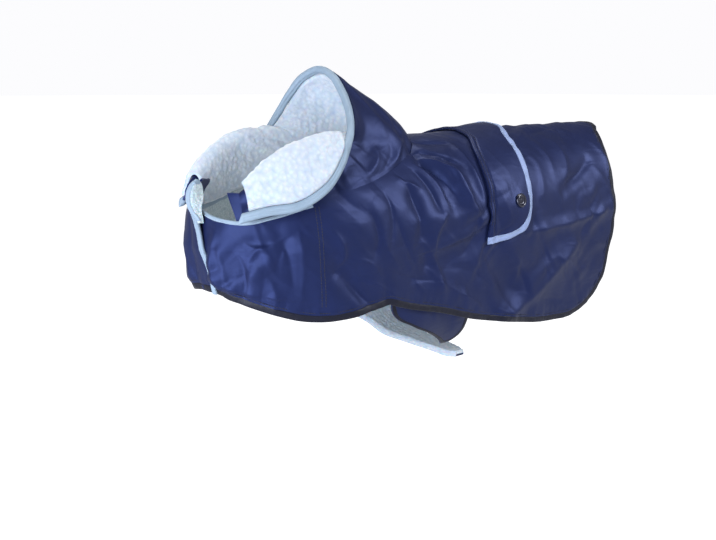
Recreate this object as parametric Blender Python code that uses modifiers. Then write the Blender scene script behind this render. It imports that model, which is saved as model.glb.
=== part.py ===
"""Hooded dog coat with a flap across the back and a strap under the belly, worn and hollow.

Metres, +Z up. The wearer faces -X and its left side is -Y. The origin is on the inner
face of the cloth over the withers, where the wearer's back holds the coat up.

Every piece is drawn on the flat cloth as (along, girth) and then draped: along runs
backwards from the shoulder section, girth runs down each side from the spine and is
negative on the left. drape() puts such a place on the worn coat.
"""
import math

import bpy
import numpy as np

MM = 0.001

# The worn form
SHOULDER_X = -120 * MM     # section where the straight back meets the rounded chest
CHEST_REACH = 141 * MM     # from that section forward to the chest
CHEST_ROUND = 0.3          # power that rounds the chest off towards the spine
CHEST_TUCK = 0.18          # how fast the chest draws back below its widest line
BACK_DEPTH = 95 * MM       # from the spine down to the widest line of the side
FLARE = 0.03               # how fast the side spreads below that line

# Cloths and seams
BODY_CLOTH = 3 * MM        # shell with its fleece lining
HOOD_CLOTH = 2 * MM
HOOD_FLEECE = 4 * MM
TAB_CLOTH = 2 * MM
STRAP_FLEECE = 3 * MM
SEAM_GAP = 0.3 * MM
SHOULDER_GAP = 0.6 * MM
LAYER_GAP = 0.9 * MM       # between the hood's curved layers
RIM_GAP = 1.5 * MM         # from them to the binding, whose ends twist with the rim
HEM_BAND = 7.3 * MM        # width of the binding round the hem
NECK_BAND = 4.0 * MM
FRONT_BAND = 6.5 * MM
FLAP_BAND = 8.0 * MM
RIM_BAND = 8.5 * MM
BAND_PROUD = 0.5 * MM      # how far a binding stands above its cloth
HOOD_FOOT = 0.6 * MM       # from the neck edge in to where the hood starts
FRONT_LAP = 5.0 * MM       # how far the right front stands off where it laps the left
INSIDE_GAP = 0.8 * MM      # between the bindings and the tabs inside them
INSIDE_FACE = BODY_CLOTH + BAND_PROUD + INSIDE_GAP
SHOULDER_SEAM = -54 * MM   # along, where the fronts join the back


def table(columns, *rows):
    """Rows of millimetres under named columns, kept in metres."""
    kinds = [(name, float) for name in columns.split()]
    return np.array([tuple(value * MM for value in row) for row in rows], dtype=kinds)


# A row for each section of the body, front to rear: half its width, and the top's height.
SECTIONS = table(
    "along half_width top",
    (0, 92, 0), (120, 92, 0), (190, 92, 3), (260, 89, 5), (360, 86, 6), (440, 84, 7), (500, 80, 7))

# Half outlines on the flat cloth, each from the spine or the shoulder outwards.
HEM_REAR = table(
    "along girth",
    (455, 0), (453, 11), (446, 24), (430, 42), (416, 70), (410, 98), (409, 125), (413, 150),
    (412, 174), (401, 202), (392, 230), (370, 255), (329, 273), (279, 274), (202, 263),
    (147, 251), (90, 233), (39, 219), (19, 212))
HEM_FRONT = table(
    "along girth",
    (19, 212), (-7, 215), (-31, 218), (-63, 217), (-95, 209), (-132, 198), (-164, 190),
    (-192, 189), (-215, 189))
NECK_BACK = table("along girth", (112, 0), (107, 20), (90, 47), (57, 68), (22, 83), (-16, 94), (-54, 104))
NECK_LEFT = table(
    "along girth",
    (-54, 104), (-90, 114), (-116, 119), (-139, 118), (-160, 115), (-178, 111), (-200, 106),
    (-215, 105))
NECK_RIGHT = table(
    "along girth", (-54, 104), (-90, 113), (-116, 115), (-139, 107), (-156, 104), (-173, 110))
RIGHT_EDGE = table("along girth", (-173, 110), (-190, 124), (-199, 142), (-202, 164), (-200, 190))
FLAP_FRONT = table(
    "along girth", (190, 0), (189, 12), (184, 34), (171, 62), (164, 95), (163, 125), (162, 149))
FLAP_REAR = table(
    "along girth",
    (260, 0), (258, 12), (253, 27), (243, 44), (236, 78), (233, 109), (230, 134), (218, 154),
    (196, 164), (161, 168))

# Largest folds: each runs from one place to another, and rises or sinks by its height.
FOLDS = table(
    "from_along from_girth to_along to_girth width height",
    (112, -66, 150, -140, 9, 3.0),
    (92, -70, 112, -122, 11, -3.0),
    (60, -132, 140, -128, 10, 2.6),
    (76, -178, 150, -160, 15, -3.4),
    (58, -108, 70, -176, 9, -2.4),
    (178, -196, 232, -250, 15, -3.6),
    (196, -252, 318, -186, 17, 4.6),
    (262, -158, 402, -146, 10, 2.4),
    (300, -120, 366, -86, 8, -2.6),
    (322, -60, 300, -118, 16, 2.2),
    (-34, -168, 8, -206, 10, -3.4),
    (-62, -150, -38, -204, 14, 2.6),
    (-118, -142, -84, -140, 8, -2.0),
    (-112, -168, -90, -152, 9, 2.2),
    (104, 66, 146, 138, 10, 3.0),
    (86, 74, 100, 126, 11, -2.8),
    (66, 176, 146, 164, 14, -3.2),
    (184, 204, 240, 248, 15, -3.2),
    (206, 254, 330, 196, 18, 4.2),
    (258, 154, 398, 150, 10, 2.2),
    (306, 116, 370, 92, 8, -2.4),
    (-28, 172, 6, 204, 10, -3.0),
    (-84, 144, -62, 196, 12, 2.4))

# Left half of the hood from its front end to the centre back, a row for each section.
# A section leaves the neck seam towards (up, out), is pulled towards a fold, ends at the rim.
HOOD = table(
    "up out fold_x fold_y fold_z rim_x rim_y rim_z",
    (18, 5, -240, -42, -20, -247, -60, -64),
    (36, 5, -223, -52, 10, -226, -71, -58),
    (50, 6, -202, -58, 30, -200, -82, -54),
    (48, 8, -176, -50, 38, -175, -89, -40),
    (40, 10, -150, -44, 28, -154, -87, -19),
    (30, 12, -120, -42, 14, -138, -80, 3),
    (20, 13, -94, -42, 26, -125, -68, 28),
    (11, 13, -78, -38, 44, -114, -49, 52),
    (3, 11, -71, -22, 60, -107, -26, 71),
    (0, 9, -67, 0, 62, -104, 0, 78))
HOOD_END = 3               # the hood ends at this row of the fronts' neck edges
HOOD_LEAN = 22 * MM        # the top of the hood slumps this far to the right
LEAN_FOOT = 5 * MM         # from this height
LEAN_TOP = 75 * MM

# Short tab and long strap: a row for each section, top to tip.
BELLY_TAB = table(
    "girth front rear",
    (203, 24, 134), (223, 26, 137), (242, 54, 139), (256, 82, 139), (266, 100, 138),
    (274, 112, 135), (280, 119, 130))
BELLY_STRAP = table(
    "y z front rear",
    (89.2, -150, -80, 40), (89.6, -180, -70, 44), (83, -210, -30, 50), (68, -231, 2, 54),
    (45, -243, 10, 54), (18, -247, 18, 53), (-30, -249, 24, 50), (-50, -249, 24, 46),
    (-62, -248, 28, 40))
TAB_CURL = 9.5             # inward bow of the tab below the hem, per metre squared
CURL_START = 228 * MM

# Neck tabs inside the fronts: a row for each section, top to foot.
NECK_TAB = table("girth front rear", (91, -138, -122), (104, -133, -121), (118, -128, -121), (130, -128, -121))
RIGHT_TAB_RISE = 9 * MM    # the right neck edge lies this much nearer the spine

# Snap caps on the flap's lower corners
SNAP_ALONG = 208 * MM
SNAP_GIRTH = 125 * MM
SNAP_PROFILE = table("radius height", (0, 1.4), (4.4, 1.4), (5.2, 2.6), (7.0, 2.6), (8.0, 1.5), (8.0, 0), (0, 0))
SNAP_STEPS = 24

# How finely each piece is divided
REAR_COLUMNS = 28
NOTCH_COLUMNS = 5
FRONT_COLUMNS = 15
BODY_ROWS = 12
FRONT_ROWS = 7
FLAP_COLUMNS = 20
FLAP_ROWS = 4
HOOD_COLUMNS = 22
HOOD_ROWS = 12
STRAP_SECTIONS = 22
STRAP_COLUMNS = 5
TAB_SECTIONS = 15
TAB_COLUMNS = 7
NECK_TAB_COLUMNS = 4
OUTLINE_SAMPLES = 200      # points read from a curve that other lines are found on
NORMAL_PASSES = 4          # how often the hood's offset directions are evened out

FLAP_FOOT = 3.3 * MM       # height of the flap's outer face at its seam
FLAP_PUFF = 3.0 * MM       # further height at its free edge
FLAP_REACH = 60 * MM       # from the seam to where it has that height


def fields(rows):
    """A table's columns as an array of points."""
    return np.stack([rows[name] for name in rows.dtype.names], axis=-1)


def smooth_line(points, count):
    """Evenly spaced points on a smooth curve through the given ones."""
    spans = np.linalg.norm(np.diff(points, axis=0), axis=1)
    knots = np.concatenate([[0], np.cumsum(spans)])
    slopes = np.gradient(points, knots, axis=0)
    places = np.linspace(0, knots[-1], count)
    left = np.clip(np.searchsorted(knots, places, side="right") - 1, 0, len(knots) - 2)
    span = (knots[left + 1] - knots[left])[:, None]
    t = (places[:, None] - knots[left][:, None]) / span
    start, end = points[left], points[left + 1]
    start_pull, end_pull = slopes[left] * span, slopes[left + 1] * span
    return (start * (2 * t**3 - 3 * t**2 + 1) + start_pull * (t**3 - 2 * t**2 + t)
            + end * (3 * t**2 - 2 * t**3) + end_pull * (t**3 - t**2))


def smooth_step(value, low, high):
    """0 below low, 1 above high, and a soft rise between."""
    t = np.clip((value - low) / (high - low), 0, 1)
    return t * t * (3 - 2 * t)


def unit(vectors):
    return vectors / np.linalg.norm(vectors, axis=-1, keepdims=True)


def grid_normal(points):
    """Normals of a grid of points, to the side that its second index turns away from."""
    return unit(np.cross(np.gradient(points, axis=1), np.gradient(points, axis=0)))


def side_of(line, side):
    """A half outline on its own side: girth is negative on the left."""
    return line * np.array([1, side])


def inset(line, distance):
    """A flat outline moved sideways, to the left of its run."""
    run = unit(np.gradient(line, axis=0))
    return line + distance * np.stack([-run[:, 1], run[:, 0]], axis=-1)


def body_form(along, girth):
    """Elliptical back over hanging sides, turned round an ellipse in plan at the chest."""
    behind = np.maximum(along, 0)
    half = np.interp(behind, SECTIONS["along"], SECTIONS["half_width"])
    top = np.interp(behind, SECTIONS["along"], SECTIONS["top"])
    radius = (half + BACK_DEPTH) / 2
    angle = np.minimum(abs(girth) / radius, math.pi / 2)
    drop = np.maximum(abs(girth) - radius * math.pi / 2, 0)
    width = half * np.sin(angle) + FLARE * drop
    height = top * np.cos(angle) - BACK_DEPTH * (1 - np.cos(angle)) - drop
    reach = CHEST_REACH * np.sin(angle)**CHEST_ROUND - CHEST_TUCK * drop
    turn = np.maximum(-along, 0) / ((reach + half) / 2)
    x = SHOULDER_X + behind - reach * np.sin(turn)
    y = np.sign(girth) * width * np.cos(turn)
    return np.stack([x, y, height + BODY_CLOTH], axis=-1)


def body_normal(along, girth):
    step = 0.5 * MM
    backwards = body_form(along + step, girth) - body_form(along - step, girth)
    across = body_form(along, girth + step) - body_form(along, girth - step)
    return unit(np.cross(backwards, across))


def fold_height(along, girth):
    """Each fold is a rounded ridge or trough round its own line on the cloth."""
    total = np.zeros_like(along)
    for fold in FOLDS:
        run_along = fold["to_along"] - fold["from_along"]
        run_girth = fold["to_girth"] - fold["from_girth"]
        off_along, off_girth = along - fold["from_along"], girth - fold["from_girth"]
        t = (off_along * run_along + off_girth * run_girth) / (run_along**2 + run_girth**2)
        t = np.clip(t, 0, 1)
        away = np.hypot(off_along - t * run_along, off_girth - t * run_girth)
        total = total + fold["height"] * np.exp(-(away / fold["width"])**2)
    return total


def drape(flat, height=0.0):
    """Flat places put on the worn coat, at a height above the body's outer face."""
    along, girth = flat[..., 0], flat[..., 1]
    lap = FRONT_LAP * smooth_step(-along, 95 * MM, 145 * MM) * (girth > 0)
    raised = height + lap + fold_height(along, girth)
    return body_form(along, girth) + body_normal(along, girth) * raised[..., None]


def ribs(inner, outer, count):
    """Flat grid between two outlines: a straight rib joins each pair of points."""
    t = np.linspace(0, 1, count)[None, :, None]
    return inner[:, None, :] * (1 - t) + outer[:, None, :] * t


def facing(flat):
    """Whether a flat grid's faces turn outwards on the worn coat."""
    first, second = np.gradient(flat, axis=0), np.gradient(flat, axis=1)
    return np.sum(first[..., 0] * second[..., 1] - first[..., 1] * second[..., 0]) > 0


def finish(name, color, roughness, metallic=0.0):
    material = bpy.data.materials.new(name)
    material.use_nodes = True
    shader = material.node_tree.nodes["Principled BSDF"]
    shader.inputs["Base Color"].default_value = (*color, 1)
    shader.inputs["Roughness"].default_value = roughness
    shader.inputs["Metallic"].default_value = metallic
    material.diffuse_color = (*color, 1)
    return material


def add_object(name, mesh, material):
    mesh.materials.append(material)
    mesh.shade_smooth()
    piece = bpy.data.objects.new(name, mesh)
    collection.objects.link(piece)
    return piece


def wall(name, outer, inner, outwards, material):
    """Cloth lofted between its outer and inner faces.

    Faces that meet across a seam are split along the same diagonals, so the gap stays even.
    """
    rows, columns = outer.shape[:2]
    index = np.arange(rows * columns).reshape(rows, columns)
    face = np.stack([index[:-1, :-1], index[1:, :-1], index[1:, 1:], index[:-1, 1:]], axis=-1)
    face = face.reshape(-1, 4)
    back = face[:, [0, 3, 2, 1]] + index.size
    rim = np.concatenate([index[:-1, 0], index[-1, :-1], index[:0:-1, -1], index[0, :0:-1]])
    onward = np.roll(rim, -1)
    edge = np.stack([onward, rim, rim + index.size, onward + index.size], axis=-1)
    there = rows + columns - 2
    edge[there:] = np.roll(edge[there:], -1, axis=1)
    faces = np.concatenate([face, back, edge])
    if not outwards:
        faces = faces[:, ::-1]
    mesh = bpy.data.meshes.new(name)
    points = np.concatenate([outer.reshape(-1, 3), inner.reshape(-1, 3)])
    mesh.from_pydata(points.tolist(), [], faces.tolist())
    return add_object(name, mesh, material)


def cloth_wall(name, flat, thickness, material, height=0.0):
    return wall(name, drape(flat, height), drape(flat, height - thickness), facing(flat), material)


def hem_line():
    """The hem on the flat cloth, from the left front round the rear to the right front."""
    front = smooth_line(fields(HEM_FRONT), OUTLINE_SAMPLES)
    rear = smooth_line(fields(HEM_REAR), REAR_COLUMNS + 1)
    to_shoulder = np.linspace(HEM_FRONT["along"][0], SHOULDER_SEAM, NOTCH_COLUMNS + 1)[1:]
    ends = {-1: HEM_FRONT["along"][-1], 1: RIGHT_EDGE["along"][-1] + FRONT_BAND + SEAM_GAP}
    halves = {}
    for side, end in ends.items():
        to_end = np.linspace(SHOULDER_SEAM, end, FRONT_COLUMNS + 1)[1:]
        along = np.concatenate([to_shoulder, to_end])
        girth = np.interp(-along, -front[:, 0], front[:, 1])
        halves[side] = side_of(np.concatenate([rear, np.stack([along, girth], axis=-1)]), side)
    return np.concatenate([halves[-1][::-1], halves[1][1:]])


def back_neck_line():
    """The back panel's neck edge, left shoulder to right, as many points as its hem."""
    half = smooth_line(fields(NECK_BACK), REAR_COLUMNS + NOTCH_COLUMNS + 1)
    return np.concatenate([side_of(half, -1)[::-1], half[1:]])


def left_neck_line():
    """The left front's neck edge, from the shoulder to where it runs under the right front."""
    return side_of(smooth_line(fields(NECK_LEFT), FRONT_COLUMNS + 1), -1)


def right_edge_line():
    """The right front's neck edge from the shoulder, then its free edge down to the hem."""
    neck = smooth_line(fields(NECK_RIGHT), FRONT_COLUMNS + 1)
    edge = smooth_line(fields(RIGHT_EDGE), FRONT_ROWS + 1)
    return np.concatenate([neck, edge[1:]])


def patch(top, bottom, start, end):
    """Flat grid inside four outlines: top and bottom run forwards, start and end run down."""
    u = np.linspace(0, 1, len(top))[:, None, None]
    v = np.linspace(0, 1, len(start))[None, :, None]
    across = top[:, None] * (1 - v) + bottom[:, None] * v
    down = start[None] * (1 - u) + end[None] * u
    corners = ((top[0] * (1 - v) + bottom[0] * v) * (1 - u) + (top[-1] * (1 - v) + bottom[-1] * v) * u)
    return across + down - corners


def build_body(navy):
    """Back panel and both fronts, just apart at the shoulder seams."""
    hem = inset(hem_line(), HEM_BAND + SEAM_GAP)
    back_hem = hem[FRONT_COLUMNS:len(hem) - FRONT_COLUMNS]
    flat = ribs(back_neck_line(), back_hem, BODY_ROWS + 1)
    flat[0, :, 0] = flat[-1, :, 0] = SHOULDER_SEAM
    cloth_wall("back_panel", flat, BODY_CLOTH, navy)

    left_hem = hem[:FRONT_COLUMNS + 1][::-1]
    left_neck = inset(left_neck_line(), NECK_BAND + SEAM_GAP)
    left_neck[0, 0] = left_hem[0, 0] = SHOULDER_SEAM - SHOULDER_GAP
    cloth_wall("front_left", ribs(left_neck, left_hem, FRONT_ROWS + 1), BODY_CLOTH, navy)

    right_hem = hem[-FRONT_COLUMNS - 1:]
    outline = inset(right_edge_line(), -FRONT_BAND - SEAM_GAP)
    right_neck, right_edge = outline[:FRONT_COLUMNS + 1], outline[FRONT_COLUMNS:]
    right_neck[0, 0] = right_hem[0, 0] = SHOULDER_SEAM - SHOULDER_GAP
    right_edge[-1] = right_hem[-1]
    shoulder = ribs(right_neck[:1], right_hem[:1], FRONT_ROWS + 1)[0]
    flat = patch(right_neck, right_hem, shoulder, right_edge)
    cloth_wall("front_right", flat, BODY_CLOTH, navy)


def build_bindings(navy_tape, grey_tape):
    """Tapes round the hem, the neck edges and the right front's free edge."""
    hem = hem_line()
    flat = ribs(hem, inset(hem, HEM_BAND), 2)
    cloth_wall("hem_binding", flat, BODY_CLOTH + 2 * BAND_PROUD, navy_tape, BAND_PROUD)
    neck = left_neck_line()
    flat = ribs(neck, inset(neck, NECK_BAND), 2)
    flat[0, :, 0] = SHOULDER_SEAM - SHOULDER_GAP
    cloth_wall("neck_binding", flat, BODY_CLOTH + 2 * BAND_PROUD, grey_tape, BAND_PROUD)
    edge = right_edge_line()
    flat = ribs(edge, inset(edge, -FRONT_BAND), 2)
    flat[0, :, 0] = SHOULDER_SEAM - SHOULDER_GAP
    cloth_wall("front_binding", flat, BODY_CLOTH + 2 * BAND_PROUD, grey_tape, BAND_PROUD)


def flap_height(flat):
    """The flap stands further off the back towards its free edge."""
    front = smooth_line(fields(FLAP_FRONT), OUTLINE_SAMPLES)
    seam = np.interp(abs(flat[..., 1]), front[:, 1], front[:, 0])
    return FLAP_FOOT + FLAP_PUFF * smooth_step(flat[..., 0] - seam, 0, FLAP_REACH)


def build_flap(navy, light_tape, dark_metal):
    """Flap stitched down across the back, its bound free edge, and a snap at each side."""
    front = smooth_line(fields(FLAP_FRONT), FLAP_COLUMNS + 1)
    rear = smooth_line(fields(FLAP_REAR), FLAP_COLUMNS + 1)
    front = np.concatenate([side_of(front, -1)[::-1], front[1:]])
    rear = np.concatenate([side_of(rear, -1)[::-1], rear[1:]])
    flat = ribs(front, inset(rear, FLAP_BAND + SEAM_GAP), FLAP_ROWS + 1)
    cloth_wall("back_flap", flat, HOOD_CLOTH, navy, flap_height(flat))
    band = ribs(rear, inset(rear, FLAP_BAND), 2)
    height = flap_height(band) + BAND_PROUD / 2
    cloth_wall("flap_binding", band, HOOD_CLOTH + BAND_PROUD, light_tape, height)
    for name, side in (("snap_left", -1), ("snap_right", 1)):
        place = np.array([SNAP_ALONG, side * SNAP_GIRTH])
        snap_cap(name, place, dark_metal)


def snap_cap(name, place, material):
    """A turned cap with a raised ring, square to the flap under it."""
    profile = fields(SNAP_PROFILE)
    mesh = bpy.data.meshes.new(name)
    points = [(radius, 0, height) for radius, height in profile]
    mesh.from_pydata(points, [(i, i + 1) for i in range(len(points) - 1)], [])
    piece = add_object(name, mesh, material)
    turn = piece.modifiers.new("Turn", "SCREW")
    turn.steps = turn.render_steps = SNAP_STEPS
    turn.use_merge_vertices = True
    turn.merge_threshold = 0.01 * MM
    normal = body_normal(place[0], place[1])
    piece.location = drape(place, flap_height(place) + SEAM_GAP)
    piece.rotation_mode = "QUATERNION"
    axis = np.cross([0, 0, 1], normal)
    angle = math.acos(normal[2])
    axis = axis / np.linalg.norm(axis) * math.sin(angle / 2)
    piece.rotation_quaternion = (math.cos(angle / 2), *axis)


def hood_seam(columns):
    """The neck seam, left end to right, with the directions up the neck and out of the cloth."""
    back, left, right = (smooth_line(fields(rows), OUTLINE_SAMPLES)
                         for rows in (NECK_BACK, NECK_LEFT[:HOOD_END], NECK_RIGHT[:HOOD_END]))
    line = np.concatenate([side_of(left, -1)[::-1], side_of(back, -1)[-2::-1], back[1:], right[1:]])
    line = smooth_line(line, columns)
    feet = inset(line, HOOD_FOOT)
    neckward = drape(inset(line, HOOD_FOOT + MM)) - drape(feet)
    return drape(feet), unit(neckward), body_normal(feet[:, 0], feet[:, 1])


def hood_rows():
    """The hood's sections, left end to right: the left half and its mirror image."""
    half = fields(HOOD)
    mirrored = half * np.array([1, 1, 1, -1, 1, 1, -1, 1])
    return np.concatenate([half, mirrored[-2::-1]])


def hood_surface(columns, steps):
    """Outer face of the hood: cubic curves from the neck seam to the rim, evenly divided.

    The last two steps lie under the rim's binding, and the others end just short of it.
    """
    rows = smooth_line(hood_rows(), columns)
    feet, neckward, normal = hood_seam(columns)
    start = feet + neckward * rows[:, 0:1] + normal * rows[:, 1:2]
    t = np.linspace(0, 1, OUTLINE_SAMPLES)[None, :, None]
    curve = (feet[:, None] * (1 - t)**3 + 3 * start[:, None] * t * (1 - t)**2
             + 3 * rows[:, None, 2:5] * t**2 * (1 - t) + rows[:, None, 5:8] * t**3)
    curve[..., 1] += HOOD_LEAN * smooth_step(curve[..., 2], LEAN_FOOT, LEAN_TOP)
    reach = np.zeros(curve.shape[:2])
    reach[:, 1:] = np.cumsum(np.linalg.norm(np.diff(curve, axis=1), axis=-1), axis=1)
    grid = np.empty((columns, steps + 3, 3))
    for column in range(columns):
        end = reach[column, -1]
        cloth = np.linspace(0, end - RIM_BAND - RIM_GAP, steps + 1)
        places = np.concatenate([cloth, [end - RIM_BAND, end]])
        for axis in range(3):
            grid[column, :, axis] = np.interp(places, reach[column], curve[column, :, axis])
    return grid


def build_hood(navy, fleece, grey_tape):
    """Hood lying back off the head: two outer halves, a fleece lining and a bound rim."""
    grid = hood_surface(2 * HOOD_COLUMNS + 1, HOOD_ROWS)
    inward = grid_normal(grid)
    for _ in range(NORMAL_PASSES):
        inward[1:-1] = unit(inward[:-2] + 2 * inward[1:-1] + inward[2:])
        inward[:, 1:-1] = unit(inward[:, :-2] + 2 * inward[:, 1:-1] + inward[:, 2:])
    inward[:, -3:] = unit(inward[:, -3:].sum(axis=1, keepdims=True))
    cloth, cloth_in = grid[:, :-2], inward[:, :-2]
    for name, part, shift in (("hood_left", slice(0, HOOD_COLUMNS + 1), (HOOD_COLUMNS, -1)),
                              ("hood_right", slice(HOOD_COLUMNS, None), (0, 1))):
        outer = cloth[part].copy()
        outer[shift[0], :, 1] += shift[1] * LAYER_GAP / 2
        wall(name, outer, outer + cloth_in[part] * HOOD_CLOTH, True, navy)
    face = cloth + cloth_in * (HOOD_CLOTH + LAYER_GAP)
    wall("hood_lining", face, face + cloth_in * HOOD_FLEECE, True, fleece)
    depth = HOOD_CLOTH + LAYER_GAP + HOOD_FLEECE + BAND_PROUD
    rim, rim_in = grid[:, -2:], inward[:, -2:]
    wall("hood_binding", rim - rim_in * BAND_PROUD, rim + rim_in * depth, True, grey_tape)


def build_neck_tabs(navy):
    """Small tabs sewn inside the fronts, standing above the neck beside the hood's ends."""
    for name, side in (("neck_tab_left", -1), ("neck_tab_right", 1)):
        rows = NECK_TAB
        girth = side * (rows["girth"] - (RIGHT_TAB_RISE if side > 0 else 0))
        front = np.stack([rows["front"], girth], axis=-1)
        rear = np.stack([rows["rear"], girth], axis=-1)
        cloth_wall(name, ribs(front, rear, NECK_TAB_COLUMNS), TAB_CLOTH, navy, -INSIDE_FACE)


def tab_drape(flat, height):
    """The tab hangs inside the left side and bows inwards below the hem."""
    points = drape(flat, height)
    below = np.maximum(abs(flat[..., 1]) - CURL_START, 0)
    points[..., 1] += TAB_CURL * below**2
    return points


def build_belly(navy, fleece):
    """Short tab under the left hem, and the strap that comes from the right under the belly."""
    outline = fields(BELLY_TAB)
    line = smooth_line(outline, TAB_SECTIONS)
    girth, front, rear = -line[:, 0], line[:, 1], line[:, 2]
    front_edge = np.stack([front, girth], axis=-1)
    rear_edge = np.stack([rear, girth], axis=-1)
    flat = ribs(front_edge, rear_edge, TAB_COLUMNS)
    wall("belly_tab", tab_drape(flat, -INSIDE_FACE), tab_drape(flat, -INSIDE_FACE - TAB_CLOTH),
         facing(flat), navy)

    line = smooth_line(fields(BELLY_STRAP), STRAP_SECTIONS)
    t = np.linspace(0, 1, STRAP_COLUMNS)
    points = np.empty((STRAP_SECTIONS, STRAP_COLUMNS, 3))
    points[..., 0] = line[:, 2:3] * (1 - t) + line[:, 3:4] * t
    points[..., 1:] = line[:, None, :2]
    inward = -grid_normal(points)
    wall("belly_strap", points, points + inward * TAB_CLOTH, False, navy)
    face = points + inward * (TAB_CLOTH + SEAM_GAP)
    wall("belly_strap_lining", face, face + inward * STRAP_FLEECE, False, fleece)


for item in list(bpy.data.objects):
    bpy.data.objects.remove(item)
collection = bpy.data.collections.new("dog_coat")
bpy.context.scene.collection.children.link(collection)

shell = finish("Navy woven shell", (0.025, 0.032, 0.12), 0.42)
dark_tape = finish("Navy binding tape", (0.010, 0.012, 0.035), 0.55)
grey_tape = finish("Grey binding tape", (0.26, 0.35, 0.42), 0.5)
blue_grey_tape = finish("Light blue grey binding tape", (0.36, 0.45, 0.70), 0.5)
sherpa = finish("White sherpa fleece", (0.78, 0.84, 0.90), 0.95)
dark_metal = finish("Dark lacquered metal", (0.012, 0.014, 0.03), 0.3, 0.6)

build_body(shell)
build_bindings(dark_tape, grey_tape)
build_flap(shell, blue_grey_tape, dark_metal)
build_hood(shell, sherpa, grey_tape)
build_neck_tabs(shell)
build_belly(shell, sherpa)
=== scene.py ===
import math

import bpy
import numpy as np
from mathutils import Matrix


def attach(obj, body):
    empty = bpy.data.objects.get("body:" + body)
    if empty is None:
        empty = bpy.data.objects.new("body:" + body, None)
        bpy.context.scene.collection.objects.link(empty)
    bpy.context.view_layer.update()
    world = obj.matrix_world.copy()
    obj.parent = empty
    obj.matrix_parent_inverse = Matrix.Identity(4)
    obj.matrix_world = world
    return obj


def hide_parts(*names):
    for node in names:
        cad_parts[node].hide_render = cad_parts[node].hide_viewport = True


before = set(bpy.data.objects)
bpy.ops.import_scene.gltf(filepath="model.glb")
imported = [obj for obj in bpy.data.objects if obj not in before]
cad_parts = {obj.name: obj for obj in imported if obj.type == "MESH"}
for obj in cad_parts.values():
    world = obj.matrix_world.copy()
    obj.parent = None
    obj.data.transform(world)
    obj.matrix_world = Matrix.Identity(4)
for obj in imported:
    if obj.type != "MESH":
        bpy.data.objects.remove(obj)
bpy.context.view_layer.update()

mm = 0.001
print("frame loaded:", len(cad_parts), "nodes")

# The flat cloth and the worn form. A place on the cloth is (along, girth): along runs
# backwards from the shoulder section, girth down each side from the spine, negative on the left.

form = {
    "shoulderX": -120 * mm,   # where the straight back meets the rounded chest
    "chestReach": 141 * mm,
    "chestRound": 0.3,
    "chestTuck": 0.18,
    "backDepth": 95 * mm,     # spine down to the widest line of the side
    "flare": 0.03,
    "cloth": 3 * mm,
    "seamGap": -0.5 * mm,     # cloth runs this far under a tape or into a seam
    "shoulderSeam": -54 * mm,
    "rightLap": 5 * mm,       # the right front stands off where it laps the left,
    "lapFrom": 95 * mm,       # from this far before the shoulder section
    "lapTo": 145 * mm,        # and in full from here
}

# along, half width, height of the top
sections = mm * np.array([
    (0, 92, 0), (120, 92, 0), (190, 92, 3), (260, 89, 5), (360, 86, 6), (440, 84, 7), (500, 80, 7)])

# Outlines as (along, girth), each from the spine or the shoulder outwards
outlines = {
    "hemRear": [(455, 0), (453, 11), (446, 24), (430, 42), (416, 70), (410, 98), (409, 125), (413, 150),
                (412, 174), (401, 202), (392, 230), (370, 255), (329, 273), (279, 274), (202, 263),
                (147, 251), (90, 233), (39, 219), (19, 212)],
    "hemFront": [(19, 212), (-7, 215), (-31, 218), (-63, 217), (-95, 209), (-132, 198), (-164, 190),
                 (-192, 189), (-215, 189)],
    "neckBack": [(112, 0), (107, 20), (90, 47), (57, 68), (22, 83), (-16, 94), (-54, 104)],
    "neckLeft": [(-54, 104), (-90, 114), (-116, 119), (-139, 118), (-160, 115), (-178, 111), (-200, 106),
                 (-215, 105)],
    "neckRight": [(-54, 104), (-90, 113), (-116, 115), (-139, 107), (-156, 104), (-173, 110)],
    "rightEdge": [(-173, 110), (-190, 124), (-199, 142), (-202, 164), (-200, 190)],
    "flapFront": [(190, 0), (189, 12), (184, 34), (171, 62), (164, 95), (163, 125), (162, 149)],
    "flapRear": [(260, 0), (258, 12), (253, 27), (243, 44), (236, 78), (233, 109), (230, 134), (218, 154),
                 (196, 164), (161, 168)],
}
outlines = {name: mm * np.array(points, dtype=float) for name, points in outlines.items()}

# Largest folds: from (along, girth) to (along, girth), width, height
largeFolds = mm * np.array([
    (112, -66, 150, -140, 9, 3.0), (92, -70, 112, -122, 11, -3.0), (60, -132, 140, -128, 10, 2.6),
    (76, -178, 150, -160, 15, -3.4), (58, -108, 70, -176, 9, -2.4), (178, -196, 232, -250, 15, -3.6),
    (196, -252, 318, -186, 17, 4.6), (262, -158, 402, -146, 10, 2.4), (300, -120, 366, -86, 8, -2.6),
    (322, -60, 300, -118, 16, 2.2), (-34, -168, 8, -206, 10, -3.4), (-62, -150, -38, -204, 14, 2.6),
    (-118, -142, -84, -140, 8, -2.0), (-112, -168, -90, -152, 9, 2.2), (104, 66, 146, 138, 10, 3.0),
    (86, 74, 100, 126, 11, -2.8), (66, 176, 146, 164, 14, -3.2), (184, 204, 240, 248, 15, -3.2),
    (206, 254, 330, 196, 18, 4.2), (258, 154, 398, 150, 10, 2.2), (306, 116, 370, 92, 8, -2.4),
    (-28, 172, 6, 204, 10, -3.0), (-84, 144, -62, 196, 12, 2.4)])

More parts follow.
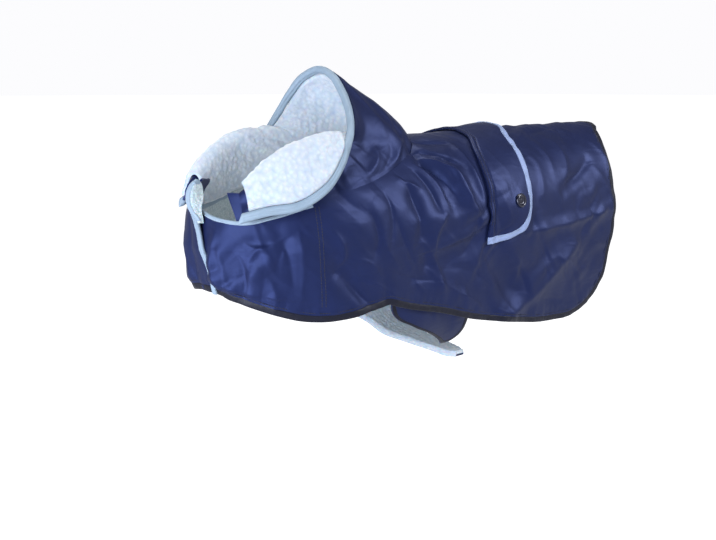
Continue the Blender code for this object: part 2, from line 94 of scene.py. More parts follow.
# Finer creases on the left side, each a bent line through three places (along, girth), its width
# on the upper or front side, its width on the other side, and its height
fineCreases = mm * np.array([
    (116, -78, 132, -104, 130, -128, 5, 9, 1.6), (122, -96, 138, -122, 150, -148, 4, 8, 1.3),
    (150, -42, 155, -88, 158, -146, 3, 6, 1.4), (104, -60, 116, -78, 120, -100, 4, 7, -1.5),
    (96, -28, 90, -50, 94, -84, 5, 8, -2.2), (43, -84, 56, -92, 70, -98, 4, 5, 1.4),
    (100, -126, 84, -146, 82, -164, 3, 12, 1.4), (82, -164, 116, -158, 152, -148, 20, 4, 2.0),
    (-174, -172, -140, -182, -104, -190, 30, 10, 2.6), (156, -150, 150, -176, 132, -206, 5, 12, 1.0),
    (217, -160, 290, -158, 398, -146, 7, 5, 1.7), (305, -111, 334, -104, 366, -88, 3, 6, -1.4),
    (318, -52, 320, -82, 304, -112, 5, 8, 0.9), (196, -250, 236, -240, 322, -184, 9, 20, 1.8),
    (212, -196, 226, -216, 228, -234, 4, 8, -1.3), (196, -182, 214, -196, 206, -226, 6, 9, 0.9),
    (-34, -173, -14, -196, 2, -212, 4, 8, -1.5), (-24, -180, 8, -192, 30, -212, 5, 6, 1.2),
    (-130, -133, -104, -144, -79, -133, 3, 6, 0.8), (-116, -158, -102, -144, -92, -162, 4, 5, 0.9),
    (-90, -164, -80, -146, -76, -186, 5, 5, -0.9), (30, -125, 38, -148, 54, -176, 5, 9, -1.2),
    (12, -142, 18, -158, 34, -180, 6, 8, 0.8), (-26, -160, -6, -166, 10, -186, 5, 7, 0.9),
    (-70, -120, -66, -160, -72, -206, 3, 4, 0.5), (60, -196, 100, -206, 150, -236, 7, 11, 0.9),
    (104, -186, 140, -196, 176, -224, 6, 9, -0.9), (250, -128, 262, -110, 262, -70, 5, 9, 0.7),
    (346, -122, 360, -150, 388, -176, 6, 9, -0.8), (372, -92, 392, -118, 402, -140, 4, 8, 0.7),
    (330, -204, 356, -222, 384, -232, 8, 10, 0.8), (240, -178, 260, -196, 264, -224, 6, 8, -0.8),
    (96, -52, 118, -62, 142, -78, 3, 6, -2.4), (86, -66, 104, -84, 118, -112, 3, 6, -2.2),
    (70, -76, 84, -100, 90, -130, 4, 7, -1.8), (92, -60, 112, -74, 134, -98, 3, 4, 1.5),
    (78, -72, 94, -94, 104, -124, 3, 5, 1.4), (50, -84, 60, -110, 62, -146, 4, 8, -1.5),
    (100, -30, 122, -38, 150, -44, 4, 7, -1.6), (20, -98, 26, -120, 22, -150, 4, 8, -1.1),
    (-150, -128, -158, -160, -150, -186, 7, 11, 1.7), (-176, -118, -184, -150, -178, -184, 6, 9, -1.5),
    (-128, -150, -120, -172, -128, -196, 5, 9, -1.2), (-100, -170, -92, -188, -96, -206, 5, 9, 1.1),
    (-40, -130, -30, -150, -36, -166, 4, 7, 1.2), (-4, -116, 6, -138, 0, -160, 4, 8, -1.2),
    (60, -150, 84, -180, 92, -214, 6, 11, 1.5), (20, -176, 52, -190, 84, -196, 5, 9, -1.2),
    (110, -214, 136, -226, 160, -246, 6, 9, 1.2), (252, -240, 276, -246, 306, -252, 5, 9, -1.1),
    (282, -196, 318, -208, 340, -232, 6, 10, 1.2), (350, -170, 372, -186, 396, -190, 5, 9, 1.1),
    (286, -100, 288, -74, 280, -46, 5, 9, 1.0), (340, -60, 352, -40, 358, -16, 6, 9, -1.0),
    (392, -60, 404, -84, 402, -106, 5, 8, 1.0), (136, -112, 144, -132, 140, -160, 4, 8, -1.4)])

# Crumpled cloth: turn in degrees, length and width of a cell, height, seed, and the places along
# the coat between which it grows from none to its full height; below zero, the creases go in
crumples = [(36, 120 * mm, 36 * mm, 4.2 * mm, 3, 60 * mm, 190 * mm),
            (-58, 95 * mm, 27 * mm, -3.4 * mm, 4, 330 * mm, 170 * mm),
            (30, 60 * mm, 15 * mm, -1.8 * mm, 5, -900 * mm, -600 * mm),
            (-62, 40 * mm, 11 * mm, 0.9 * mm, 6, -900 * mm, -600 * mm),
            (75, 90 * mm, 26 * mm, -3.0 * mm, 7, -20 * mm, -80 * mm)]
# Their ground: two sizes of sideways bend with their cells, the share of the height that the
# smooth patches keep, the size of those, and the ridge's level and roundness
ground = {"bends": [(14 * mm, 60 * mm), (4 * mm, 21 * mm)], "least": 0.35, "patch": 75 * mm,
          "level": 0.35, "roundness": 0.009}
puckers = {"cell": 8 * mm, "height": 0.6 * mm, "reach": 9 * mm}
creaseGain = 1.95
# How much of the folds is lost in the lapped fronts, and where along the coat this starts and ends
calm = {"share": 0.8, "from": 160 * mm, "to": 196 * mm}


def runs(line):
    # Distance along a line to each of its points
    return np.concatenate([[0], np.cumsum(np.linalg.norm(np.diff(line, axis=0), axis=1))])


def paired(first, second):
    # Two values for each place, in one array
    return np.stack(np.broadcast_arrays(first, second), axis=-1)


def smoothLine(points, count):
    # Cubic Hermite curve through the points, read at even steps of its chord length
    knots = runs(points)
    slopes = np.gradient(points, knots, axis=0)
    places = np.linspace(0, knots[-1], count)
    left = np.clip(np.searchsorted(knots, places, side="right") - 1, 0, len(knots) - 2)
    span = (knots[left + 1] - knots[left])[:, None]
    t = (places[:, None] - knots[left][:, None]) / span
    start, end = points[left], points[left + 1]
    startPull, endPull = slopes[left] * span, slopes[left + 1] * span
    return (start * (2 * t**3 - 3 * t**2 + 1) + startPull * (t**3 - 2 * t**2 + t)
            + end * (3 * t**2 - 2 * t**3) + endPull * (t**3 - t**2))


def fineLine(line, step=2.2 * mm):
    # The same curve in even steps of about this length
    return smoothLine(line, int(runs(line)[-1] / step))


def smoothStep(value, low, high):
    # 3t^2 - 2t^3 between low and high
    t = np.clip((value - low) / (high - low), 0, 1)
    return t * t * (3 - 2 * t)


def between(first, second, t):
    # first * (1 - t) + second * t
    return first * (1 - t) + second * t


def unit(vectors):
    # Each vector over its own length
    return vectors / np.linalg.norm(vectors, axis=-1, keepdims=True)


def side(line, sign):
    # The line itself, or with -1 its mirror image across the spine
    return line * np.array([1, sign])


def bothSides(half):
    # A line that starts at the spine, with its mirror image before it
    return np.concatenate([side(half, -1)[::-1], half[1:]])


def inset(line, distance):
    # Each point moved sideways, to the left of the line's run
    run = unit(np.gradient(line, axis=0))
    return line + distance * np.stack([-run[:, 1], run[:, 0]], axis=-1)


def softNoise(u, v, cell, seed):
    # Seeded heights from -1 to 1 on a lattice, joined by smooth steps
    heights = np.random.default_rng(seed).uniform(-1, 1, (128, 128))
    x, y = u / cell, v / cell
    i, j = np.floor(x).astype(int), np.floor(y).astype(int)
    a, b = smoothStep(x - i, 0, 1), smoothStep(y - j, 0, 1)
    i, j, iNext, jNext = i % 128, j % 128, (i + 1) % 128, (j + 1) % 128
    return between(between(heights[i, j], heights[iNext, j], a),
                   between(heights[i, jNext], heights[iNext, jNext], a), b)


def lumps(u, v, cell, seed):
    # A dome over the nearest of the seeded points, one point in each square cell
    jitter = np.random.default_rng(seed).uniform(0.15, 0.85, (128, 128, 3))
    x, y = u / cell, v / cell
    i, j = np.floor(x).astype(int), np.floor(y).astype(int)
    top = np.zeros_like(x)
    for stepX in (-1, 0, 1):
        for stepY in (-1, 0, 1):
            spot = jitter[(i + stepX) % 128, (j + stepY) % 128]
            away = np.hypot(i + stepX + spot[..., 0] - x, j + stepY + spot[..., 1] - y)
            size = 0.62 + 0.36 * spot[..., 2]
            top = np.maximum(top, np.sqrt(np.clip(1 - (away / size)**2, 0, 1)) * size)
    return top


def pileHeight(u, v, layers):
    # Sum of a few layers of curls, each height * lumps at shifted places
    return mm * sum(height * lumps(u + shiftU, v + shiftV, size * mm, seed)
                    for height, shiftU, shiftV, size, seed in layers)


def bodyForm(along, girth):
    # Ellipse over the back, straight flared sides below its widest line, chest turned in plan
    behind = np.maximum(along, 0)
    half = np.interp(behind, sections[:, 0], sections[:, 1])
    top = np.interp(behind, sections[:, 0], sections[:, 2])
    radius = (half + form["backDepth"]) / 2
    angle = np.minimum(abs(girth) / radius, math.pi / 2)
    drop = np.maximum(abs(girth) - radius * math.pi / 2, 0)
    width = half * np.sin(angle) + form["flare"] * drop
    height = top * np.cos(angle) - form["backDepth"] * (1 - np.cos(angle)) - drop
    reach = form["chestReach"] * np.sin(angle)**form["chestRound"] - form["chestTuck"] * drop
    turn = np.maximum(-along, 0) / ((reach + half) / 2)
    x = form["shoulderX"] + behind - reach * np.sin(turn)
    y = np.sign(girth) * width * np.cos(turn)
    return np.stack([x, y, height + form["cloth"]], axis=-1)


def bodyNormal(along, girth):
    # Cross product of the form's slopes backwards and across
    step = 0.5 * mm
    backwards = bodyForm(along + step, girth) - bodyForm(along - step, girth)
    across = bodyForm(along, girth + step) - bodyForm(along, girth - step)
    return unit(np.cross(backwards, across))


def bentLine(row):
    # Quadratic curve through three places, as 13 points
    start, middle, end = row[0:2], row[2:4], row[4:6]
    t = np.linspace(0, 1, 13)[:, None]
    pull = 2 * middle - (start + end) / 2
    return start * (1 - t)**2 + 2 * pull * t * (1 - t) + end * t**2


def nearestOn(u, v, line):
    # Distance from a line on the cloth, the place on it in segments, and which side of it
    best, place, sideSign = np.full(u.shape, 1e9), np.zeros(u.shape), np.zeros(u.shape)
    for k in range(len(line) - 1):
        run = line[k + 1] - line[k]
        t = np.clip(((u - line[k, 0]) * run[0] + (v - line[k, 1]) * run[1]) / (run @ run), 0, 1)
        offU, offV = u - line[k, 0] - t * run[0], v - line[k, 1] - t * run[1]
        away = np.hypot(offU, offV)
        nearer = away < best
        best = np.where(nearer, away, best)
        place = np.where(nearer, k + t, place)
        sideSign = np.where(nearer, np.sign(run[0] * offV - run[1] * offU), sideSign)
    return best, place, sideSign


def crease(u, v, row):
    # A bump round a bent line, exp(-d/w) with its own width on each side and soft ends. The 0.12
    # rounds its top, and the 0.35, near its square root, brings that back to the row's height.
    line = bentLine(row)
    away, place, sideSign = nearestOn(u, v, line)
    width = np.where(sideSign > 0, row[6], row[7])
    ends = np.sin(math.pi * np.clip(place / (len(line) - 1), 0.02, 0.98))**0.5
    return row[8] * ends * np.exp(0.35 - np.sqrt((1.45 * away / width)**2 + 0.12))


def mirrored(rows):
    # The same creases on the other side, shifted a little so that the sides differ
    other = rows.copy()
    shift = np.random.default_rng(11).uniform(-9, 9, (len(rows), 2)) * mm
    for column in (0, 2, 4):
        other[:, column] += shift[:, 0]
        other[:, column + 1] = -other[:, column + 1] + shift[:, 1] * 0.5
    other[:, 6:8] = other[:, 7:5:-1]
    return other


allCreases = np.concatenate([fineCreases, mirrored(fineCreases)])


def crumple(u, v):
    # Ridged noise, -|noise|, in turned and stretched cells on bent coordinates, so that creases run
    # between flatter facets; a slow noise leaves some places smooth
    bentU, bentV = u, v
    for k, (distance, cell) in enumerate(ground["bends"]):
        bentU = bentU + distance * softNoise(u, v, cell, 101 + k)
        bentV = bentV + distance * softNoise(u, v, cell, 103 + k)
    total = np.zeros_like(u)
    for degrees, length, width, height, seed, noneAt, fullAt in crumples:
        turn = math.radians(degrees)
        x = (bentU * math.cos(turn) + bentV * math.sin(turn)) / length
        y = (bentV * math.cos(turn) - bentU * math.sin(turn)) / width
        noise = softNoise(x, y, 1.0, seed)
        patches = smoothStep(softNoise(u, v, ground["patch"], seed + 50), -0.35, 0.45)
        where = ground["least"] + (1 - ground["least"]) * patches
        share = smoothStep((u - noneAt) / (fullAt - noneAt), 0, 1)
        total += share * height * where * (ground["level"] - np.sqrt(noise**2 + ground["roundness"]))
    return total


def relief(along, girth):
    # Height of the cloth's folds: the large ones, the fine ones and the crumpled ground
    total = np.zeros_like(along)
    for row in largeFolds:
        away = nearestOn(along, girth, row[:4].reshape(2, 2))[0]
        total += row[5] * np.exp(-(away / row[4])**2)
    for row in allCreases:
        total += creaseGain * crease(along, girth, row)
    total += crumple(along, girth)
    # the left front stays in under the right one's edge
    return total * (1 - calm["share"] * smoothStep(-along, calm["from"], calm["to"]))


def seamPucker(flat, line, seed):
    # Short pulls square to a seam, fading away from it: height * exp(-d/reach) * noise along it
    away, place = nearestOn(flat[..., 0], flat[..., 1], line)[:2]
    along = np.interp(place, np.arange(len(line)), runs(line))
    pull = softNoise(along, along * 0, puckers["cell"], seed)
    pull += 0.6 * softNoise(along, along * 0, 0.45 * puckers["cell"], seed + 1)
    return puckers["height"] * pull * np.exp(-away / puckers["reach"]) * smoothStep(away, 0, 2 * mm)


def layOn(flat):
    # The cloth's outer face with its folds, and its outward direction, at flat places
    along, girth = flat[..., 0], flat[..., 1]
    lap = form["rightLap"] * smoothStep(-along, form["lapFrom"], form["lapTo"]) * (girth > 0)
    normal = bodyNormal(along, girth)
    return bodyForm(along, girth) + normal * (relief(along, girth) + lap)[..., None], normal


def ribs(inner, outer, count):
    # Straight ribs from each point of one outline to its partner on the other
    t = np.linspace(0, 1, count)[None, :, None]
    return between(inner[:, None], outer[:, None], t)


def patch(top, bottom, start, end):
    # Coons patch between four outlines
    u = np.linspace(0, 1, len(top))[:, None, None]
    v = np.linspace(0, 1, len(start))[None, :, None]
    corners = between(between(top[0], bottom[0], v), between(top[-1], bottom[-1], v), u)
    return between(top[:, None], bottom[:, None], v) + between(start[None], end[None], u) - corners


def turnsOut(flat):
    # True where the grid's rows and columns turn left on the flat cloth: sum of the cross products
    first, second = np.gradient(flat, axis=0), np.gradient(flat, axis=1)
    return np.sum(first[..., 0] * second[..., 1] - first[..., 1] * second[..., 0]) > 0


def makePiece(name, points, quads, triangles, materials, materialIndex, uv, slot, replaced=()):
    # A mesh from whole arrays of points, quads and triangles, with the cut's places as its UV map
    mesh = bpy.data.meshes.new(name)
    mesh.vertices.add(len(points))
    mesh.vertices.foreach_set("co", points.astype(np.float32).ravel())
    corners = np.concatenate([quads.ravel(), triangles.ravel()]).astype(np.int32)
    starts = np.concatenate([4 * np.arange(len(quads)), 4 * len(quads) + 3 * np.arange(len(triangles))])
    mesh.loops.add(len(corners))
    mesh.loops.foreach_set("vertex_index", corners)
    mesh.polygons.add(len(starts))
    mesh.polygons.foreach_set("loop_start", starts.astype(np.int32))
    for material in materials:
        mesh.materials.append(material)
    mesh.polygons.foreach_set("material_index", materialIndex.astype(np.int32))
    layer = mesh.uv_layers.new(name="cut")
    layer.data.foreach_set("uv", uv[corners].astype(np.float32).ravel())
    mesh.update(calc_edges=True)
    mesh.validate()
    mesh.shade_smooth()
    mesh.set_sharp_from_angle(angle=math.radians(62))
    piece = bpy.data.objects.new(name, mesh)
    bpy.context.scene.collection.objects.link(piece)
    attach(piece, "root")
    if replaced:
        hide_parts(*replaced)
    return piece


def wall(name, outer, inner, outwards, materials, flat, **words):
    # Cloth between its outer and inner faces, closed round its edge. The inner face has every
    # second row and column, so the outer grid has an odd number of each.
    inner = inner[::2, ::2]
    index = np.arange(outer[..., 0].size).reshape(outer.shape[:2])
    behind = np.arange(inner[..., 0].size).reshape(inner.shape[:2]) + index.size

    def cells(grid):
        return np.stack([grid[:-1, :-1], grid[1:, :-1], grid[1:, 1:], grid[:-1, 1:]],
                        axis=-1).reshape(-1, 4)

    def loop(grid):
        return np.concatenate([grid[:-1, 0], grid[-1, :-1], grid[:0:-1, -1], grid[0, :0:-1]])

    rim, rimBehind = loop(index), loop(behind)
    nextBehind = np.roll(rimBehind, -1)
    first, second, third = rim[::2], rim[1::2], np.roll(rim, -2)[::2]
    edge = np.stack([second, first, rimBehind, nextBehind], axis=-1)
    corner = np.stack([third, second, nextBehind], axis=-1)
    face, back = cells(index), cells(behind)[:, [0, 3, 2, 1]]
    quads = np.concatenate([face, back, edge])
    if not outwards:
        quads, corner = quads[:, ::-1], corner[:, ::-1]
    which = np.zeros(len(quads) + len(corner))
    which[len(face):len(face) + len(back)] = min(1, len(materials) - 1)
    points = np.concatenate([outer.reshape(-1, 3), inner.reshape(-1, 3)])
    uv = np.concatenate([flat.reshape(-1, 2), flat[::2, ::2].reshape(-1, 2)])
    return makePiece(name, points, quads, corner, materials, which, uv, **words)


def tube(name, grid, material, flat, **words):
    # A closed section carried along a line: grid[station, point], with a flat cap at each end
    stations, around = grid.shape[:2]
    index = np.arange(stations * around).reshape(stations, around)
    beside = np.roll(index, -1, axis=1)
    quads = np.stack([index[:-1], beside[:-1], beside[1:], index[1:]], axis=-1).reshape(-1, 4)
    half = around // 2
    ends = []
    for k in range(half - 1):
        a, b, c, d = k, k + 1, around - 2 - k, around - 1 - k
        ends.append([index[0, d], index[0, c], index[0, b], index[0, a]])
        ends.append([index[-1, a], index[-1, b], index[-1, c], index[-1, d]])
    quads = np.concatenate([quads, np.array(ends)])
    points = grid.reshape(-1, 3)
    first, second, third, fourth = (points[quads[:, k]] for k in range(4))
    if np.sum(first * (np.cross(second, third) + np.cross(third, fourth))) < 0:   # inside out
        quads = quads[:, ::-1]
    return makePiece(name, points, quads, np.zeros((0, 3)), [material], np.zeros(len(quads)),
                     flat.reshape(-1, 2), **words)


# how sharply a stitch turns into its holes, where the cloth cuts its height, how thin it gets in
# a hole, and how far it is pressed flat
stitch = {"pitch": 2.8 * mm, "thread": 0.42 * mm, "around": 6, "stations": 7, "turnIn": 0.6,
          "seat": 0.75, "thin": 0.55, "pressed": 0.7}
tape = {"proud": 0.5 * mm, "uneven": 0.18, "unevenCell": 6 * mm, "puckerCell": 9 * mm}


def thread(name, base, normal, material, slotName, lift=0.0):
    # A lockstitch: a round thread along a line that dives into the cloth at each hole, |sin|
    count = max(2, int(runs(base)[-1] / stitch["pitch"])) * stitch["stations"] + 1
    both = smoothLine(np.concatenate([base, normal * mm], axis=1), count)
    base, normal = both[:, :3], unit(both[:, 3:])
    wave = abs(np.sin(math.pi * np.arange(count) / stitch["stations"]))**stitch["turnIn"]
    base = base + normal * (lift + stitch["thread"] * (wave - stitch["seat"]))[:, None]
    ahead = unit(np.gradient(base, axis=0))
    sideways = unit(np.cross(ahead, normal))
    turn = np.linspace(0, 2 * math.pi, stitch["around"], endpoint=False)
    thick = stitch["thread"] * (stitch["thin"] + (1 - stitch["thin"]) * wave)[:, None, None]
    ring = (np.cos(turn)[None, :, None] * sideways[:, None]
            + stitch["pressed"] * np.sin(turn)[None, :, None] * normal[:, None])
    mapping = np.zeros((count, stitch["around"], 2))
    mapping[..., 0] = np.arange(count)[:, None] * stitch["pitch"] / stitch["stations"]
    return tube(name, base[:, None] + thick * ring, material, mapping, slot=slotName)


def stitchLine(name, line, material, slotName, lift=0.0, height=None):
    # A line of stitches on the draped cloth
    line = fineLine(line, step=0.8 * mm)
    base, normal = layOn(line[:, None])
    if height is not None:
        base = base + normal * height(line[:, None])[..., None]
    return thread(name, base[:, 0], normal[:, 0], material, slotName, lift)


def tapeProfile(width, thickness, count=9):
    # Folded tape's section, (across, up): round at the free edge, soft at the sewn one
    across = width * (1 - np.cos(np.linspace(0, math.pi, count))) / 2
    roundness = np.clip(np.sin(np.linspace(0, math.pi, count)), 0, 1)**0.35
    swell = (thickness / 2 + tape["proud"]) * roundness
    top = np.stack([across, -thickness / 2 + swell], axis=-1)
    bottom = np.stack([across, -thickness / 2 - swell], axis=-1)[::-1]
    return np.concatenate([top, bottom])


def tapeHeights(profile, lengths, seed):
    # The section's heights at each station, fuller and flatter along the tape
    uneven = tape["uneven"] * softNoise(lengths, lengths * 0, tape["unevenCell"], seed)
    return profile[None, :, 1] * (1 + uneven)[:, None]


def tapeRound(name, face, normal, path, width, thickness, material, slotName, passes, trim=0):
    # Folded tape round the edge of a face in space: path picks the edge's points from a grid, and
    # the fourth point in from each gives the direction across the tape
    edge, upwards = path(face, 0), path(normal, 0)
    towards = unit(path(face, 3) - edge)
    for smoothing in range(passes):
        towards[1:-1] = unit(towards[:-2] + towards[1:-1] + towards[2:])
    kept = slice(trim, len(edge) - trim)
    edge, towards, upwards = edge[kept], towards[kept], upwards[kept]
    profile = tapeProfile(width, thickness)
    lengths = runs(edge)
    up = tapeHeights(profile, lengths, 61)
    grid = edge[:, None] + towards[:, None] * profile[None, :, :1] + upwards[:, None] * up[..., None]
    return tube(name, grid, material, paired(lengths[:, None], profile[None, :, 0]), slot=slotName)


def linear(code):
    # sRGB hex to linear
    parts = np.array([int(code[k:k + 2], 16) for k in (1, 3, 5)]) / 255
    low, high = parts / 12.92, ((parts + 0.055) / 1.055)**2.4
    return tuple(float(x) for x in np.where(parts <= 0.04045, low, high)) + (1.0,)


def addNode(tree, kind, settings=(), inputs=(), links=()):
    # settings are the node's own values, inputs its sockets' values, links (socket, other's output)
    node = tree.nodes.new(kind)
    for name, value in dict(settings).items():
        setattr(node, name, value)
    for name, value in dict(inputs).items():
        node.inputs[name].default_value = value
    for name, output in dict(links).items():
        tree.links.new(output, node.inputs[name])
    return node


def newMaterial(name, color, roughness, **sockets):
    # A Principled shader with its sockets' values; an underscore in a socket's name is a space
    material = bpy.data.materials.new(name)
    material.use_nodes = True
    material.diffuse_color = linear(color)
    shader = material.node_tree.nodes["Principled BSDF"]
    shader.inputs["Base Color"].default_value = linear(color)
    shader.inputs["Roughness"].default_value = roughness
    for socket, value in sockets.items():
        shader.inputs[socket.replace("_", " ")].default_value = value
    return material, material.node_tree, shader


def wovenPolyester(name, color, lightColor, roughness):
    # Polyester taffeta, woven and calendered: a slick face whose highlights keep the dye's blue.
    # Its threads are about 0.2 mm apart, too fine to show: faint bands stand for them, 4.4 mm apart,
    # which is 2 * pi times 0.7 mm, because the texture takes the sine of 20 * scale * place.
    material, tree, shader = newMaterial(name, color, roughness, Specular_IOR_Level=1.0, IOR=1.36,
                                         Specular_Tint=linear("#889EEC"))
    place = addNode(tree, "ShaderNodeUVMap", {"uv_map": "cut"})
    threads = []
    for direction in ("X", "Y"):
        wave = addNode(tree, "ShaderNodeTexWave", {"wave_type": "BANDS", "bands_direction": direction},
                       {"Scale": 1 / (0.7 * mm) / 20, "Distortion": 0.6, "Detail": 1.0, "Detail Scale": 3.0},
                       {"Vector": place.outputs["UV"]})
        threads.append(wave.outputs["Fac"])
    weave = addNode(tree, "ShaderNodeMath", {"operation": "MULTIPLY"}, {},
                    {0: threads[0], 1: threads[1]})
    bump = addNode(tree, "ShaderNodeBump", {}, {"Strength": 0.12, "Distance": 0.12 * mm},
                   {"Height": weave.outputs[0]})
    # wrinkles of 20 mm and less that the folds leave out, stretched across the cloth
    stretch = addNode(tree, "ShaderNodeMapping", {}, {"Rotation": (0, 0, 0.7), "Scale": (1.0, 2.2, 1.0)},
                      {"Vector": place.outputs["UV"]})
    wrinkles = addNode(tree, "ShaderNodeTexNoise", {"noise_type": "RIDGED_MULTIFRACTAL"},
                       {"Scale": 42.0, "Detail": 2.0, "Roughness": 0.4, "Distortion": 0.5},
                       {"Vector": stretch.outputs["Vector"]})
    wrinkle = addNode(tree, "ShaderNodeBump", {}, {"Strength": 0.36, "Distance": 1.0 * mm},
                      {"Height": wrinkles.outputs["Fac"], "Normal": bump.outputs["Normal"]})
    objectPlace = addNode(tree, "ShaderNodeTexCoord")
    cloud = addNode(tree, "ShaderNodeTexNoise", {}, {"Scale": 38.0, "Detail": 3.0, "Roughness": 0.55},
                    {"Vector": objectPlace.outputs["Object"]})
    tint = addNode(tree, "ShaderNodeMix", {"data_type": "RGBA"},
                   {6: linear(color), 7: linear(lightColor)}, {0: cloud.outputs["Fac"]})
    tree.links.new(tint.outputs[2], shader.inputs["Base Color"])
    tree.links.new(wrinkle.outputs["Normal"], shader.inputs["Normal"])
    return material


def foldedTape(name, color, darkColor, roughness):
    # Polyester binding tape, folded over the edge: faint ribs across its width, 5.7 mm apart, which
    # is 2 * pi times 0.9 mm. The real ones are finer.
    material, tree, shader = newMaterial(name, color, roughness, Sheen_Weight=0.05, Sheen_Roughness=0.4,
                                         Specular_IOR_Level=0.3)
    place = addNode(tree, "ShaderNodeUVMap", {"uv_map": "cut"})
    ribsAcross = addNode(tree, "ShaderNodeTexWave", {"wave_type": "BANDS", "bands_direction": "X"},
                         {"Scale": 1 / (0.9 * mm) / 20, "Distortion": 0.8, "Detail": 1.0},
                         {"Vector": place.outputs["UV"]})
    objectPlace = addNode(tree, "ShaderNodeTexCoord")
    cloud = addNode(tree, "ShaderNodeTexNoise", {}, {"Scale": 90.0, "Detail": 3.0},
                    {"Vector": objectPlace.outputs["Object"]})
    tint = addNode(tree, "ShaderNodeMix", {"data_type": "RGBA"},
                   {6: linear(darkColor), 7: linear(color)}, {0: cloud.outputs["Fac"]})
    ribBump = addNode(tree, "ShaderNodeBump", {}, {"Strength": 0.25, "Distance": 0.2 * mm},
                      {"Height": ribsAcross.outputs["Fac"]})
    bump = addNode(tree, "ShaderNodeBump", {}, {"Strength": 0.4, "Distance": 0.8 * mm},
                   {"Height": cloud.outputs["Fac"], "Normal": ribBump.outputs["Normal"]})
    tree.links.new(tint.outputs[2], shader.inputs["Base Color"])
    tree.links.new(bump.outputs["Normal"], shader.inputs["Normal"])
    return material


def sherpaFleece(name, color, paintedShadeColor, curl):
    # Knitted polyester sherpa, brushed into curls of the given size in mm: matt, its own colour on the curls,
    # with painted shade between them that darkens it to a bluish grey. Its fibres are drawn 1.1 mm apart so
    # that they show.
    material, tree, shader = newMaterial(name, color, 0.95, Sheen_Weight=0.6, Sheen_Roughness=0.6,
                                         Subsurface_Weight=0.25, Subsurface_Scale=3 * mm)
    objectPlace = addNode(tree, "ShaderNodeTexCoord")
    curls = addNode(tree, "ShaderNodeTexVoronoi", {"feature": "SMOOTH_F1"},
                    {"Scale": 1 / (curl * mm), "Smoothness": 0.5, "Randomness": 1.0},
                    {"Vector": objectPlace.outputs["Object"]})
    fibres = addNode(tree, "ShaderNodeTexNoise", {},
                     {"Scale": 1 / (1.1 * mm), "Detail": 4.0, "Roughness": 0.7},
                     {"Vector": objectPlace.outputs["Object"]})
    height = addNode(tree, "ShaderNodeMath", {"operation": "MULTIPLY_ADD"}, {1: 0.35},
                     {0: fibres.outputs["Fac"], 2: curls.outputs["Distance"]})
    bump = addNode(tree, "ShaderNodeBump", {"invert": True}, {"Strength": 0.7, "Distance": 1.3 * mm},
                   {"Height": height.outputs[0]})
    # painted shade: the colour falls from the fleece's own colour on each curl to the darker bluish grey
    # between the curls
    tint = addNode(tree, "ShaderNodeMix", {"data_type": "RGBA"},
                   {6: linear(color), 7: linear(paintedShadeColor)}, {0: curls.outputs["Distance"]})
    tree.links.new(tint.outputs[2], shader.inputs["Base Color"])
    tree.links.new(bump.outputs["Normal"], shader.inputs["Normal"])
    return material


def lacqueredMetal(name, color):
    # Pressed brass cap under dark lacquer: a hard, clear highlight on the ring
    material, tree, shader = newMaterial(name, color, 0.28, Metallic=0.2, Coat_Weight=0.6,
                                         Coat_Roughness=0.12)
    objectPlace = addNode(tree, "ShaderNodeTexCoord")
    specks = addNode(tree, "ShaderNodeTexNoise", {}, {"Scale": 900.0, "Detail": 2.0},
                     {"Vector": objectPlace.outputs["Object"]})
    bump = addNode(tree, "ShaderNodeBump", {}, {"Strength": 0.08, "Distance": 0.1 * mm},
                   {"Height": specks.outputs["Fac"]})
    tree.links.new(bump.outputs["Normal"], shader.inputs["Normal"])
    return material


shellCloth = wovenPolyester("Calendered navy polyester taffeta", "#141A37", "#1A2245", 0.45)
# the second colour is painted shade between the curls
liningCloth = sherpaFleece("Pale grey brushed fleece", "#C3CFCF", "#8FA3A8", 2.2)
darkTape = foldedTape("Navy polyester binding tape", "#0D1024", "#080A18", 0.5)
greyTape = foldedTape("Grey polyester binding tape", "#93A5B4", "#7D909F", 0.5)
blueTape = foldedTape("Light blue grey binding tape", "#97A8CC", "#7F90B8", 0.5)
# the second colour is painted shade between the curls
sherpa = sherpaFleece("White knitted sherpa fleece", "#C6CDD0", "#A3B3C4", 4.6)
snapMetal = lacqueredMetal("Dark lacquered brass cap", "#0E1126")
navyThread = newMaterial("Navy spun polyester thread", "#12162F", 0.7)[0]
paleThread = newMaterial("Grey spun polyester thread", "#93A5B6", 0.6)[0]
print("materials made")


# Body panels: grid steps, widths of the bindings, how far in their stitches lie, and the girths
# that the shoulders' stitches run between
panels = {"rearColumns": 236, "notchColumns": 40, "frontColumns": 120, "bodyRows": 128, "frontRows": 80,
          "hemBand": 7.3 * mm, "neckBand": 4.0 * mm, "frontBand": 6.5 * mm, "hemStitch": 9.2 * mm,
          "neckStitch": 2.7 * mm, "frontStitch": 4.6 * mm, "shoulderStitch": (107 * mm, 203 * mm)}


def hemLine():
    # From the left front round the rear to the right front, in the steps of the panels' columns
    front = smoothLine(outlines["hemFront"], 400)
    rear = smoothLine(outlines["hemRear"], panels["rearColumns"] + 1)
    seam = form["shoulderSeam"]
    toShoulder = np.linspace(front[0, 0], seam, panels["notchColumns"] + 1)[1:]
    halves = {}
    rightEnd = outlines["rightEdge"][-1, 0] + panels["frontBand"] + form["seamGap"]
    for sign, end in ((-1, front[-1, 0]), (1, rightEnd)):
        along = np.concatenate([toShoulder, np.linspace(seam, end, panels["frontColumns"] + 1)[1:]])
        girth = np.interp(-along, -front[:, 0], front[:, 1])
        halves[sign] = side(np.concatenate([rear, np.stack([along, girth], axis=-1)]), sign)
    return np.concatenate([halves[-1][::-1], halves[1][1:]])


